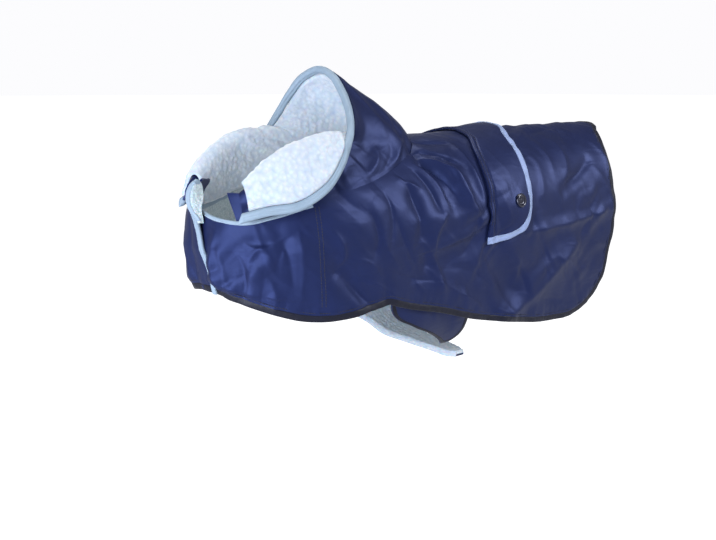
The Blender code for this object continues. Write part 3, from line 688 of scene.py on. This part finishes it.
def edgeTape(name, line, toInside, width, thickness, material, node, slot, height=None, waves=0.35, seed=5):
    # The section is carried along the edge, on the draped cloth, with small puckers
    profile = tapeProfile(width, thickness)
    flat = np.stack([inset(line, toInside * across) for across, up in profile], axis=1)
    base, normal = layOn(flat)
    lift = 0 if height is None else height(flat)
    lengths = runs(line)
    pucker = waves * mm * softNoise(lengths, lengths * 0, tape["puckerCell"], seed)
    up = tapeHeights(profile, lengths, seed + 1)
    grid = base + normal * (lift + up + pucker[:, None])[..., None]
    return tube(name, grid, material, paired(lengths[:, None], profile[None, :, 0]), slot=slot,
                replaced=(node,))


def clothPanel(name, flat, thickness, node, inside=None, height=0.0, seam=None):
    # A cut piece draped on the form, at a height over it, puckered along its seam
    base, normal = layOn(flat)
    lift = np.broadcast_to(height, flat.shape[:2])
    if seam is not None:
        lift = lift + seamPucker(flat, seam[::3], len(name))
    outer = base + normal * lift[..., None]
    piece = wall(name, outer, outer - normal * thickness, turnsOut(flat), [shellCloth, inside or shellCloth],
                 flat, slot="navy_shell", replaced=(node,))


leftNeckLine = side(smoothLine(outlines["neckLeft"], panels["frontColumns"] + 1), -1)
rightEdgeLine = np.concatenate([smoothLine(outlines["neckRight"], panels["frontColumns"] + 1),
                                smoothLine(outlines["rightEdge"], panels["frontRows"] + 1)[1:]])
hemEdge = hemLine()
hemTape = edgeTape("HemTape", fineLine(hemEdge), 1, panels["hemBand"], form["cloth"], darkTape, "hem_binding",
                   "dark_tape")
neckTapeLine = fineLine(leftNeckLine)
neckTapeLine[0, 0] = form["shoulderSeam"]
neckTape = edgeTape("NeckTape", neckTapeLine, 1, panels["neckBand"], form["cloth"], greyTape, "neck_binding",
                    "grey_tape", seed=7)
frontTapeLine = fineLine(rightEdgeLine)
frontTapeLine[0, 0] = form["shoulderSeam"]
frontTape = edgeTape("FrontTape", frontTapeLine, -1, panels["frontBand"], form["cloth"], greyTape,
                     "front_binding", "grey_tape", seed=9)
hem = inset(hemEdge, panels["hemBand"] + form["seamGap"])
hemStitches = [
    stitchLine("HemStitches", inset(hemEdge, panels["hemStitch"])[2:-8], navyThread, "dark_tape"),
    stitchLine("NeckStitches", inset(leftNeckLine, panels["neckStitch"])[4:-4], paleThread, "grey_tape",
               tape["proud"]),
    stitchLine("FrontStitches", inset(rightEdgeLine, -panels["frontStitch"])[4:-4], paleThread, "grey_tape",
               tape["proud"])]
for sign, name in ((-1, "Left"), (1, "Right")):
    for step in (2.2, 5.6):
        ends = [(form["shoulderSeam"] + step * mm, sign * girth) for girth in panels["shoulderStitch"]]
        hemStitches.append(stitchLine(f"{name}ShoulderStitches{step:.0f}", np.linspace(*ends, 90), navyThread,
                                      "navy_shell"))
print("body bindings and stitches made")
frontCount = panels["frontColumns"]
backNeck = bothSides(smoothLine(outlines["neckBack"], panels["rearColumns"] + panels["notchColumns"] + 1))
flat = ribs(backNeck, hem[frontCount:len(hem) - frontCount], panels["bodyRows"] + 1)
flat[0, :, 0] = flat[-1, :, 0] = form["shoulderSeam"]
clothPanel("BackPanelCloth", flat, form["cloth"], "back_panel", inside=liningCloth,
           seam=hem)

leftHem = hem[:frontCount + 1][::-1].copy()
leftNeck = inset(leftNeckLine, panels["neckBand"] + form["seamGap"])
leftNeck[0, 0] = leftHem[0, 0] = form["shoulderSeam"]
clothPanel("LeftFrontCloth", ribs(leftNeck, leftHem, panels["frontRows"] + 1), form["cloth"], "front_left",
           inside=liningCloth, seam=leftHem)

rightHem = hem[-frontCount - 1:].copy()
outline = inset(rightEdgeLine, -panels["frontBand"] - form["seamGap"])
rightNeck, rightEdge = outline[:frontCount + 1], outline[frontCount:]
rightNeck[0, 0] = rightHem[0, 0] = form["shoulderSeam"]
rightEdge[-1] = rightHem[-1]
shoulder = ribs(rightNeck[:1], rightHem[:1], panels["frontRows"] + 1)[0]
clothPanel("RightFrontCloth", patch(rightNeck, rightHem, shoulder, rightEdge), form["cloth"], "front_right",
           inside=liningCloth, seam=rightHem)
print("panels made")


# Flap across the back
flap = {"foot": 3.3 * mm, "puff": 3.0 * mm, "reach": 60 * mm, "cloth": 2 * mm, "band": 8 * mm,
        "columns": 150, "rows": 60, "stitches": 6.2 * mm,
        # ridge and groove of the folded seam: height, distance from the seam, width
        "seam": [(1.3 * mm, 3.2 * mm, 2.4 * mm), (-0.9 * mm, 7.4 * mm, 1.5 * mm)]}


def flapHeight(flat):
    # Rises from the seam towards the free edge, with a ridge over the folded seam
    front = smoothLine(outlines["flapFront"], 80)
    seam = np.interp(abs(flat[..., 1]), front[:, 1], front[:, 0])
    away = flat[..., 0] - seam
    total = flap["foot"] + flap["puff"] * smoothStep(away, 0, flap["reach"])
    for height, place, width in flap["seam"]:
        total = total + height * np.exp(-((away - place) / width)**2)
    return total


flapFront = bothSides(smoothLine(outlines["flapFront"], flap["columns"] + 1))
flapRear = bothSides(smoothLine(outlines["flapRear"], flap["columns"] + 1))
flat = ribs(flapFront, inset(flapRear, flap["band"] + form["seamGap"]), flap["rows"] + 1)
flapTape = edgeTape("FlapTape", fineLine(flapRear), 1, flap["band"], flap["cloth"], blueTape, "flap_binding",
                    "blue_grey_tape", height=flapHeight, waves=1.1, seed=21)
flapStitches = [stitchLine("FlapStitches", inset(flapRear, flap["stitches"])[2:-2], paleThread,
                           "blue_grey_tape", tape["proud"], flapHeight)]
for name, distance in (("FlapTopstitches", 1.4 * mm), ("FlapSecondTopstitches", 7.4 * mm)):
    flapStitches.append(stitchLine(name, inset(flapFront, -distance)[2:-2], navyThread, "navy_shell",
                                   height=flapHeight))
clothPanel("BackFlapCloth", flat, flap["cloth"], "back_flap", height=flapHeight(flat))

snap = {"along": 208 * mm, "girth": 125 * mm, "steps": 48}
# radius and height of the cap's turned profile, from its centre outwards
snapProfile = mm * np.array([
    (0.01, 1.5), (1.5, 1.45), (3.6, 1.25), (4.4, 1.5), (5.0, 2.3), (5.6, 2.7), (6.3, 2.8), (7.0, 2.6),
    (7.6, 2.1), (7.95, 1.4), (8.0, 0.6), (7.9, 0.0), (4.0, 0.0), (0.01, 0.0)])


def snapCap(name, sign, node):
    # The profile turned round the flap's outward direction
    place = np.array([[[snap["along"], sign * snap["girth"]]]])
    base, normal = layOn(place)
    base, normal = base[0, 0] + normal[0, 0] * (flapHeight(place)[0, 0] + form["seamGap"]), normal[0, 0]
    first = unit(np.cross(normal, [1.0, 0.0, 0.0]))
    second = np.cross(normal, first)
    turn = np.linspace(0, 2 * math.pi, snap["steps"], endpoint=False)
    ring = np.cos(turn)[:, None] * first + np.sin(turn)[:, None] * second
    radius, height = snapProfile[:, 0, None, None], snapProfile[:, 1, None, None]
    grid = base + ring[None] * radius + normal * height
    tube(name, grid, snapMetal, paired(snapProfile[:, :1], turn[None] * mm), slot="dark_metal",
         replaced=(node,))


snapCap("LeftSnapCap", -1, "snap_left")
snapCap("RightSnapCap", 1, "snap_right")
print("flap made")


# Hood
hood = {"foot": 0.6 * mm, "lean": 22 * mm, "leanFoot": 5 * mm, "leanTop": 75 * mm, "band": 8.5 * mm,
        "rimGap": 0.4 * mm, "cloth": 2 * mm, "layerGap": 0.7 * mm, "fleece": 4 * mm, "endRow": 3,
        "columns": 220, "rows": 85, "rimSteps": 13, "bare": 4, "evening": 14, "crumple": 0.8,
        "rise": 110 * mm,     # the hood's height as its creases and its pile are laid out
        "sink": 1.3 * mm,     # of the foot into the neck seam
        "seam": (1.0 * mm, 2.5 * mm),        # the centre seam's depth and width
        # rim tape: height and cell of its waves, depth and width of its sunk line, how far it
        # stands proud, and at its ends the stations, their step and how fast each end narrows
        "rimWave": (0.35 * mm, 10 * mm), "rimGroove": (0.7 * mm, 0.09), "rimProud": 0.5 * mm,
        "endCount": 5, "endStep": 0.8 * mm, "endDrawn": (0.16, 0.17), "pileFoot": 1.6 * mm,
        # curls: height in mm, shifts of their places, size in mm, seed
        "pile": [(2.0, 0.5, 0.5, 5.0, 41), (1.0, 0.7, 0.3, 2.7, 42)]}

# Up and out from the neck seam, the place that the section is pulled towards, and the rim
hoodTable = mm * np.array([
    (18, 5, -240, -42, -20, -247, -60, -64), (36, 5, -223, -52, 10, -226, -71, -58),
    (50, 6, -202, -58, 30, -200, -82, -54), (48, 8, -176, -50, 38, -175, -89, -40),
    (40, 10, -150, -44, 28, -154, -87, -19), (30, 12, -120, -42, 14, -138, -80, 3),
    (20, 13, -94, -42, 26, -125, -68, 28), (11, 13, -78, -38, 44, -114, -49, 52),
    (3, 11, -71, -22, 60, -107, -26, 71), (0, 9, -67, 0, 62, -104, 0, 78)])

# Creases in the hood: places as (distance round the seam from its centre, share of the way up)
hoodCreases = [
    (-150, 0.06, -120, 0.20, -104, 0.42, 7, 0.06, 2.4), (-96, 0.04, -70, 0.16, -40, 0.22, 6, 0.05, 2.2),
    (-126, 0.5, -100, 0.62, -70, 0.9, 9, 0.1, -1.6), (-60, 0.3, -40, 0.6, -44, 0.95, 9, 0.1, 1.6),
    (-176, 0.1, -160, 0.3, -148, 0.6, 8, 0.1, -1.8), (20, 0.1, 34, 0.5, 30, 0.95, 9, 0.1, -1.6),
    (70, 0.05, 92, 0.3, 120, 0.5, 8, 0.08, 2.2), (130, 0.1, 150, 0.4, 150, 0.8, 8, 0.1, -1.8)]


def hoodGrid(columns, steps):
    # Cubic curves from the neck seam to the rim, in even steps of their length
    half = hoodTable
    mirror = half * np.array([1, 1, 1, -1, 1, 1, -1, 1])
    rows = smoothLine(np.concatenate([half, mirror[-2::-1]]), columns)
    back, left, right = (smoothLine(points, 200) for points in (
        outlines["neckBack"], outlines["neckLeft"][:hood["endRow"]], outlines["neckRight"][:hood["endRow"]]))
    line = np.concatenate([side(left, -1)[::-1], side(back, -1)[-2::-1], back[1:], right[1:]])
    line = inset(smoothLine(line, columns), hood["foot"])
    ahead = inset(line, mm)
    base = bodyForm(line[:, 0], line[:, 1])
    normal = bodyNormal(line[:, 0], line[:, 1])
    neckward = unit(bodyForm(ahead[:, 0], ahead[:, 1]) - base)
    feet = layOn(line[:, None])[0][:, 0]
    start = feet + neckward * rows[:, 0:1] + normal * rows[:, 1:2]
    t = np.linspace(0, 1, 160)[None, :, None]
    curve = (feet[:, None] * (1 - t)**3 + 3 * start[:, None] * t * (1 - t)**2
             + 3 * rows[:, None, 2:5] * t**2 * (1 - t) + rows[:, None, 5:8] * t**3)
    curve[..., 1] += hood["lean"] * smoothStep(curve[..., 2], hood["leanFoot"], hood["leanTop"])
    reach = np.zeros(curve.shape[:2])
    reach[:, 1:] = np.cumsum(np.linalg.norm(np.diff(curve, axis=1), axis=-1), axis=1)
    # every column is read at the same shares of its own length
    share = np.linspace(0, 1, steps)
    wanted = share[None] * (reach[:, -1] - hood["band"] - hood["rimGap"])[:, None]
    rim = reach[:, -1:] - hood["band"] * np.linspace(1, 0, hood["rimSteps"])[None]
    places = np.concatenate([wanted, rim], axis=1)
    grid = np.empty((*places.shape, 3))
    for column in range(columns):
        for axis in range(3):
            grid[column, :, axis] = np.interp(places[column], reach[column], curve[column, :, axis])
    return grid, line, reach[:, -1]


def gridInward(grid, passes):
    # Directions to the side that the sections turn their lining to, evened out
    normal = unit(np.cross(np.gradient(grid, axis=1), np.gradient(grid, axis=0)))
    for smoothing in range(passes):
        normal[1:-1] = unit(normal[:-2] + 2 * normal[1:-1] + normal[2:])
        normal[:, 1:-1] = unit(normal[:, :-2] + 2 * normal[:, 1:-1] + normal[:, 2:])
    return normal


columns, steps = 2 * hood["columns"] + 1, hood["rows"]
grid, seamLine, hoodReach = hoodGrid(columns, steps)
inward = gridInward(grid, hood["evening"])
seamLength = runs(seamLine)
around = (seamLength - seamLength[-1] / 2)[:, None] * np.ones(steps)[None]
share = np.linspace(0, 1, steps)[None] * np.ones(columns)[:, None]
climb = share * hood["rise"]
lift = hood["crumple"] * crumple(around + 0.4, climb + 0.2)
for row in hoodCreases:
    lift += crease(around, climb, np.array(row) * np.array([mm, hood["rise"]] * 4 + [mm]))
lift *= smoothStep(share, 0, 0.06) * smoothStep(1 - share, 0, 0.05)
cloth = grid[:, :steps] - inward[:, :steps] * lift[..., None]
cloth[:, 0] -= hood["sink"] * unit(cloth[:, 1] - cloth[:, 0])
clothIn = inward[:, :steps]
mapping = paired(around, climb)
halves = (("LeftHoodCloth", slice(0, hood["columns"] + 1), "hood_left", -1, -1),
          ("RightHoodCloth", slice(hood["columns"], None), "hood_right", 0, 1))
for name, part, node, row, push in halves:
    outer, partIn = cloth[part, ::2].copy(), clothIn[part, ::2]
    seam = hood["seam"][0] * np.exp(-(around[part, ::2] / hood["seam"][1])**2)
    outer += partIn * seam[..., None]
    outer[row, :, 1] += push * form["seamGap"] / 2
    piece = wall(name, outer, outer + partIn * hood["cloth"], True, [shellCloth], mapping[part, ::2],
                 slot="navy_shell", replaced=(node,))

fleeceIn = cloth + clothIn * (hood["cloth"] + hood["layerGap"])
pile = pileHeight(around, climb, hood["pile"]) * smoothStep(share, 0, 0.02) * smoothStep(1 - share, 0, 0.02)
fleeceFace = fleeceIn + clothIn * (hood["fleece"] - hood["pileFoot"] + pile)[..., None]
# the fleece stops short of the hood's front ends, where the shell shows beside the tabs
bare = 2 * hood["bare"]
piece = wall("HoodFleece", fleeceIn[bare:-bare], fleeceFace[bare:-bare], True, [sherpa], mapping[bare:-bare],
             slot="sherpa", replaced=("hood_lining",))

# Rim tape: rounded, with its stitched line sunk along the middle
rim, across = grid[:, steps:], np.linspace(0, 1, hood["rimSteps"])
rimIn = unit(inward[:, steps - 1:].mean(axis=1, keepdims=True)) * np.ones((1, hood["rimSteps"], 1))
depth = hood["cloth"] + hood["layerGap"] + hood["fleece"]
swell = np.clip(np.sin(0.12 + across * (math.pi - 0.24)), 0, 1)**0.4
groove = hood["rimGroove"][0] * np.exp(-((across - 0.5) / hood["rimGroove"][1])**2)
half = ((depth / 2 + hood["rimProud"]) * swell - groove)[None, :, None]
rimLength = runs(rim[:, -1])
wave = hood["rimWave"][0] * softNoise(rimLength, rimLength * 0, hood["rimWave"][1], 71)[:, None, None]
middle = rim + rimIn * (depth / 2 + wave)
section = np.concatenate([middle - rimIn * half, (middle + rimIn * half)[:, ::-1]], axis=1)


def foldedEnd(section, end):
    # A few more stations past the tape's end, drawn in to its outer corner
    last, before = (section[0], section[3]) if end == 0 else (section[-1], section[-4])
    ahead = unit((last - before).mean(axis=0))
    corner = last[hood["rimSteps"] - 1:hood["rimSteps"] + 1].mean(axis=0)
    steps = np.arange(1, hood["endCount"] + 1)[:, None, None]
    more = corner + (last - corner)[None] * (1 - hood["endDrawn"][end] * steps)
    more = more + ahead * steps * hood["endStep"]
    return np.concatenate([more[::-1], section]) if end == 0 else np.concatenate([section, more])


# the right end is cut back by as many stations as are added
section = foldedEnd(foldedEnd(section, 0)[:-hood["endCount"]], -1)
mapping = paired(np.arange(len(section))[:, None] * 1.4 * mm,
                 np.arange(2 * hood["rimSteps"])[None] * 0.7 * mm)
tube("HoodRimTape", section, greyTape, mapping, slot="grey_tape", replaced=("hood_binding",))
row = hood["rimSteps"] // 2
thread("HoodRimStitches", (middle - rimIn * half)[3:-3, row], -rimIn[3:-3, row], paleThread, "grey_tape",
       0.15 * mm)
row = hood["columns"] + 4   # beside the centre seam
thread("HoodSeamStitches", cloth[row, 6:-4:3], -clothIn[row, 6:-4:3], navyThread, "navy_shell")
print("hood made")


# Tabs and strap
insideFace = form["cloth"] + tape["proud"] + 0.8 * mm   # where the tabs start, inside the panels
neckTab = {"cloth": 2 * mm, "rightRise": 9 * mm}
# girth, front and rear of the tab
neckTabTable = mm * np.array([(91, -138, -112), (104, -133, -113), (118, -128, -116), (130, -128, -120)])
for name, sign, node in (("LeftNeckTab", -1, "neck_tab_left"), ("RightNeckTab", 1, "neck_tab_right")):
    rows = smoothLine(neckTabTable, 25)
    girth = sign * (rows[:, 0] - (neckTab["rightRise"] if sign > 0 else 0))
    flat = ribs(np.stack([rows[:, 1], girth], axis=-1), np.stack([rows[:, 2], girth], axis=-1), 13)
    clothPanel(name, flat, neckTab["cloth"], node, height=-insideFace)

# The right front's top corner, turned outwards: lined cloth that rises from the front tape's top.
# Each row: height over its foot, left edge, right edge, how far it stands out, and how far its
# right edge falls back
corner = {"foot": (-190 * mm, 124 * mm), "columns": 25, "rows": 41, "cloth": 2.4 * mm, "tape": 5 * mm,
          "across": (0.779, -0.627, 0.0), "up": (0.141, 0.175, 0.974), "leftFall": 1.6 * mm,
          "width": 15 * mm, "flat": (24 * mm, 44 * mm),
          "areaShare": 1.6}   # cloth in the folded corner, against the leaf's own face
cornerTable = mm * np.array([
    (0, 0.5, 6.0, 1.6, 0.6), (5, -2.6, 5.6, 3.6, 0.8), (14, -8.7, 4.2, 4.2, 1.2),
    (22.6, -10.5, 5.4, 4.4, 3.0), (30, -9.6, 5.0, 4.6, 5.0), (36.4, -6.4, 3.8, 4.4, 4.6),
    (40.6, -1.7, 1.2, 3.8, 1.6)])
foot, normal = layOn(np.array([[corner["foot"]]]))
across, upward = unit(np.array(corner["across"])), unit(np.array(corner["up"]))
rows = smoothLine(cornerTable, corner["rows"])
t = np.linspace(0, 1, corner["columns"])[:, None, None]
fall = rows[:, 4:5] * smoothStep(t, 0.35, 1.15) * 1.4 + corner["leftFall"] * (1 - smoothStep(t, -0.1, 0.4))
leaf = (foot[0, 0] + across * between(rows[:, 1:2], rows[:, 2:3], t) + upward * rows[:, 0:1]
        + np.cross(across, upward) * (rows[:, 3:4] - fall))
leafNormal = unit(np.cross(np.gradient(leaf, axis=0), np.gradient(leaf, axis=1)))
piece = wall("CollarCorner", leaf, leaf - leafNormal * corner["cloth"], True, [liningCloth, shellCloth],
             paired(t[..., 0] * corner["width"], rows[None, :, 0]), slot="navy_shell")


def leafEdge(grid, inwards):
    # Up the leaf's left edge and over its tip
    return np.concatenate([grid[inwards, :-1], grid[:, -1 - inwards]])[2:-2]


cornerTape = tapeRound("CollarCornerTape", leaf, leafNormal, leafEdge, corner["tape"], corner["cloth"],
                       greyTape, "grey_tape", 12)

bellyTab = {"curl": 9.5, "curlStart": 228 * mm, "cloth": 2 * mm, "tape": 5.5 * mm}
# girth, front and rear of the tab
bellyTabTable = mm * np.array([(203, 24, 134), (223, 26, 137), (242, 54, 139), (256, 82, 139),
                               (266, 100, 138), (274, 112, 135), (280, 119, 130)])
rows = smoothLine(bellyTabTable, 61)
flat = ribs(np.stack([rows[:, 1], -rows[:, 0]], axis=-1), np.stack([rows[:, 2], -rows[:, 0]], axis=-1), 51)
base, normal = layOn(flat)
outer = base - normal * insideFace
outer[..., 1] += bellyTab["curl"] * np.maximum(abs(flat[..., 1]) - bellyTab["curlStart"], 0)**2
piece = wall("BellyTabCloth", outer, outer - normal * bellyTab["cloth"], turnsOut(flat),
             [shellCloth, liningCloth], flat, slot="navy_shell", replaced=("belly_tab",))


def tabEdge(grid, inwards):
    # Down the tab's front edge, along its foot and up its rear edge
    return np.concatenate([grid[:-1, inwards], grid[-1 - inwards, :-1], grid[::-1, -1 - inwards]])


tabTape = tapeRound("BellyTabTape", outer, normal, tabEdge, bellyTab["tape"], bellyTab["cloth"], darkTape,
                    "dark_tape", 6, trim=4)

strap = {"cloth": 2 * mm, "fleece": 3 * mm, "gap": 0.3 * mm, "pileFoot": 1.0 * mm,
         "overlap": 0.035,   # share of the strap's width that its fleece runs past each edge
         "turnFrom": 0.47, "turnOver": 0.9 * mm,
         "pile": [(1.9, 0.5, 0.5, 4.2, 51), (0.9, 0.5, 0.9, 2.4, 52)]}
# y, z, front and rear of the strap
strapTable = mm * np.array([
    (89.2, -150, -80, 40), (89.6, -180, -70, 44), (83, -210, -30, 50), (68, -231, 2, 54), (45, -243, 10, 54),
    (18, -247, 18, 53), (-30, -249, 24, 50), (-50, -249, 24, 46), (-62, -248, 28, 40)])
rows = smoothLine(strapTable, 201)
t = np.linspace(0, 1, 81)
outer = np.empty((len(rows), len(t), 3))
outer[..., 0] = between(rows[:, 2:3], rows[:, 3:4], t)
outer[..., 1:] = rows[:, None, :2]
strapIn = -unit(np.cross(np.gradient(outer, axis=1), np.gradient(outer, axis=0)))
length = runs(rows[:, :2])
mapping = paired(length[:, None], outer[..., 0])
piece = wall("BellyStrapCloth", outer, outer + strapIn * strap["cloth"], False, [shellCloth], mapping,
             slot="navy_shell", replaced=("belly_strap",))
# The fleece runs past both edges of the strap and turns over them
share = np.linspace(-strap["overlap"], 1 + strap["overlap"], len(t))
turned = smoothStep(abs(share - 0.5), strap["turnFrom"], 0.5 + strap["overlap"])
turned = turned * (strap["cloth"] + strap["turnOver"])
face = outer.copy()
face[..., 0] = between(rows[:, 2:3], rows[:, 3:4], share)
face += strapIn * (strap["cloth"] + strap["gap"] - turned)[None, :, None]
pile = pileHeight(mapping[..., 0], mapping[..., 1], strap["pile"])
pileFace = face + strapIn * (strap["fleece"] - strap["pileFoot"] + pile)[..., None]
piece = wall("BellyStrapFleece", face, pileFace, False, [sherpa], mapping, slot="sherpa",
             replaced=("belly_strap_lining",))
print("tabs and strap made")


# Camera, light and floor
studio = {"floorZ": -0.44, "floorReach": 60.0, "sensor": 36, "lens": 784 / 716 * 36,
          "place": (-0.59975, -0.66175, 0.05331), "tilt": 13.0, "turn": 38.8}
cameraData = bpy.data.cameras.new("PhotoCamera")
cameraData.sensor_width = studio["sensor"]
cameraData.sensor_fit = "HORIZONTAL"
cameraData.lens = studio["lens"]
cameraData.clip_start = 0.01
camera = bpy.data.objects.new("PhotoCamera", cameraData)
bpy.context.scene.collection.objects.link(camera)
camera.location = studio["place"]
camera.rotation_euler = (math.radians(90 - studio["tilt"]), 0, -math.radians(studio["turn"]))
bpy.context.scene.camera = camera


def softbox(name, place, target, size, power, color="#FFFFFF"):
    # Rectangular area light that faces its target, turned by the arctangents of the direction
    light = bpy.data.lights.new(name, "AREA")
    light.shape = "RECTANGLE"
    light.size, light.size_y = size
    light.energy = power
    light.color = linear(color)[:3]
    lamp = bpy.data.objects.new(name, light)
    bpy.context.scene.collection.objects.link(lamp)
    direction = np.array(target) - np.array(place)
    yaw = math.atan2(direction[1], direction[0]) - math.pi / 2
    pitch = math.atan2(direction[2], math.hypot(direction[0], direction[1]))
    lamp.location = place
    lamp.rotation_euler = (math.pi / 2 + pitch, 0, yaw)


softbox("KeySoftbox", (-1.35, -0.75, 0.25), (-0.1, 0.0, -0.1), (0.5, 0.9), 21, "#EFF3FF")
softbox("TopSoftbox", (0.1, 0.2, 1.5), (0.05, 0.0, -0.1), (1.2, 0.5), 13)
softbox("StripSoftbox", (1.1, -1.2, 0.75), (0.05, 0.0, -0.1), (0.4, 0.8), 21, "#EDF1FF")
softbox("RearSoftbox", (0.6, 1.4, 0.7), (0.0, 0.0, -0.1), (0.6, 0.6), 4)
softbox("FrontSoftbox", (-0.98, -0.16, -0.36), (-0.24, -0.04, -0.12), (0.4, 0.3), 6.0, "#DCE6FF")

# The camera sees white. The cloth reflects white round the horizon, dimmer overhead and behind the
# rear, so that the softboxes stand out in its gloss: strength = fade(z) * shade(x).
world = bpy.data.worlds.new("StudioWorld")
world.use_nodes = True
worldTree = world.node_tree
direction = addNode(worldTree, "ShaderNodeTexCoord")
parts = addNode(worldTree, "ShaderNodeSeparateXYZ", {}, {}, {"Vector": direction.outputs["Generated"]})
fade = addNode(worldTree, "ShaderNodeMapRange", {"interpolation_type": "SMOOTHSTEP"},
               {"From Min": 0.12, "From Max": 0.5, "To Min": 0.74, "To Max": 0.2},
               {"Value": parts.outputs["Z"]})
shade = addNode(worldTree, "ShaderNodeMapRange", {"interpolation_type": "SMOOTHSTEP"},
                {"From Min": 0.3, "From Max": 0.95, "To Min": 1.0, "To Max": 0.35},
                {"Value": parts.outputs["X"]})
strength = addNode(worldTree, "ShaderNodeMath", {"operation": "MULTIPLY"}, {},
                   {0: fade.outputs["Result"], 1: shade.outputs["Result"]})
ray = addNode(worldTree, "ShaderNodeLightPath")
seen = addNode(worldTree, "ShaderNodeMix", {"data_type": "FLOAT"}, {3: 1.0},
               {0: ray.outputs["Is Camera Ray"], 2: strength.outputs[0]})
background = worldTree.nodes["Background"]
background.inputs["Color"].default_value = linear("#FCFCFE")
worldTree.links.new(seen.outputs[0], background.inputs["Strength"])
bpy.context.scene.world = world
bpy.context.scene.view_settings.view_transform = "Standard"

floorMaterial, floorTree, floorShader = newMaterial("Matt white studio floor", "#A2A2A2", 0.9,
                                                    Emission_Color=linear("#FCFCFE"))
ray = addNode(floorTree, "ShaderNodeLightPath")
glow = addNode(floorTree, "ShaderNodeMapRange", {}, {"To Min": 0.36, "To Max": 0.97},
               {"Value": ray.outputs["Is Camera Ray"]})
floorTree.links.new(glow.outputs["Result"], floorShader.inputs["Emission Strength"])
floorMesh = bpy.data.meshes.new("StudioFloor")
farOut = studio["floorReach"]
floorMesh.from_pydata([(x, y, studio["floorZ"]) for x, y in (
    (-farOut, -farOut), (farOut, -farOut), (farOut, farOut), (-farOut, farOut))], [], [(0, 1, 2, 3)])
floorMesh.materials.append(floorMaterial)
floor = bpy.data.objects.new("StudioFloor", floorMesh)
bpy.context.scene.collection.objects.link(floor)
print("studio made")
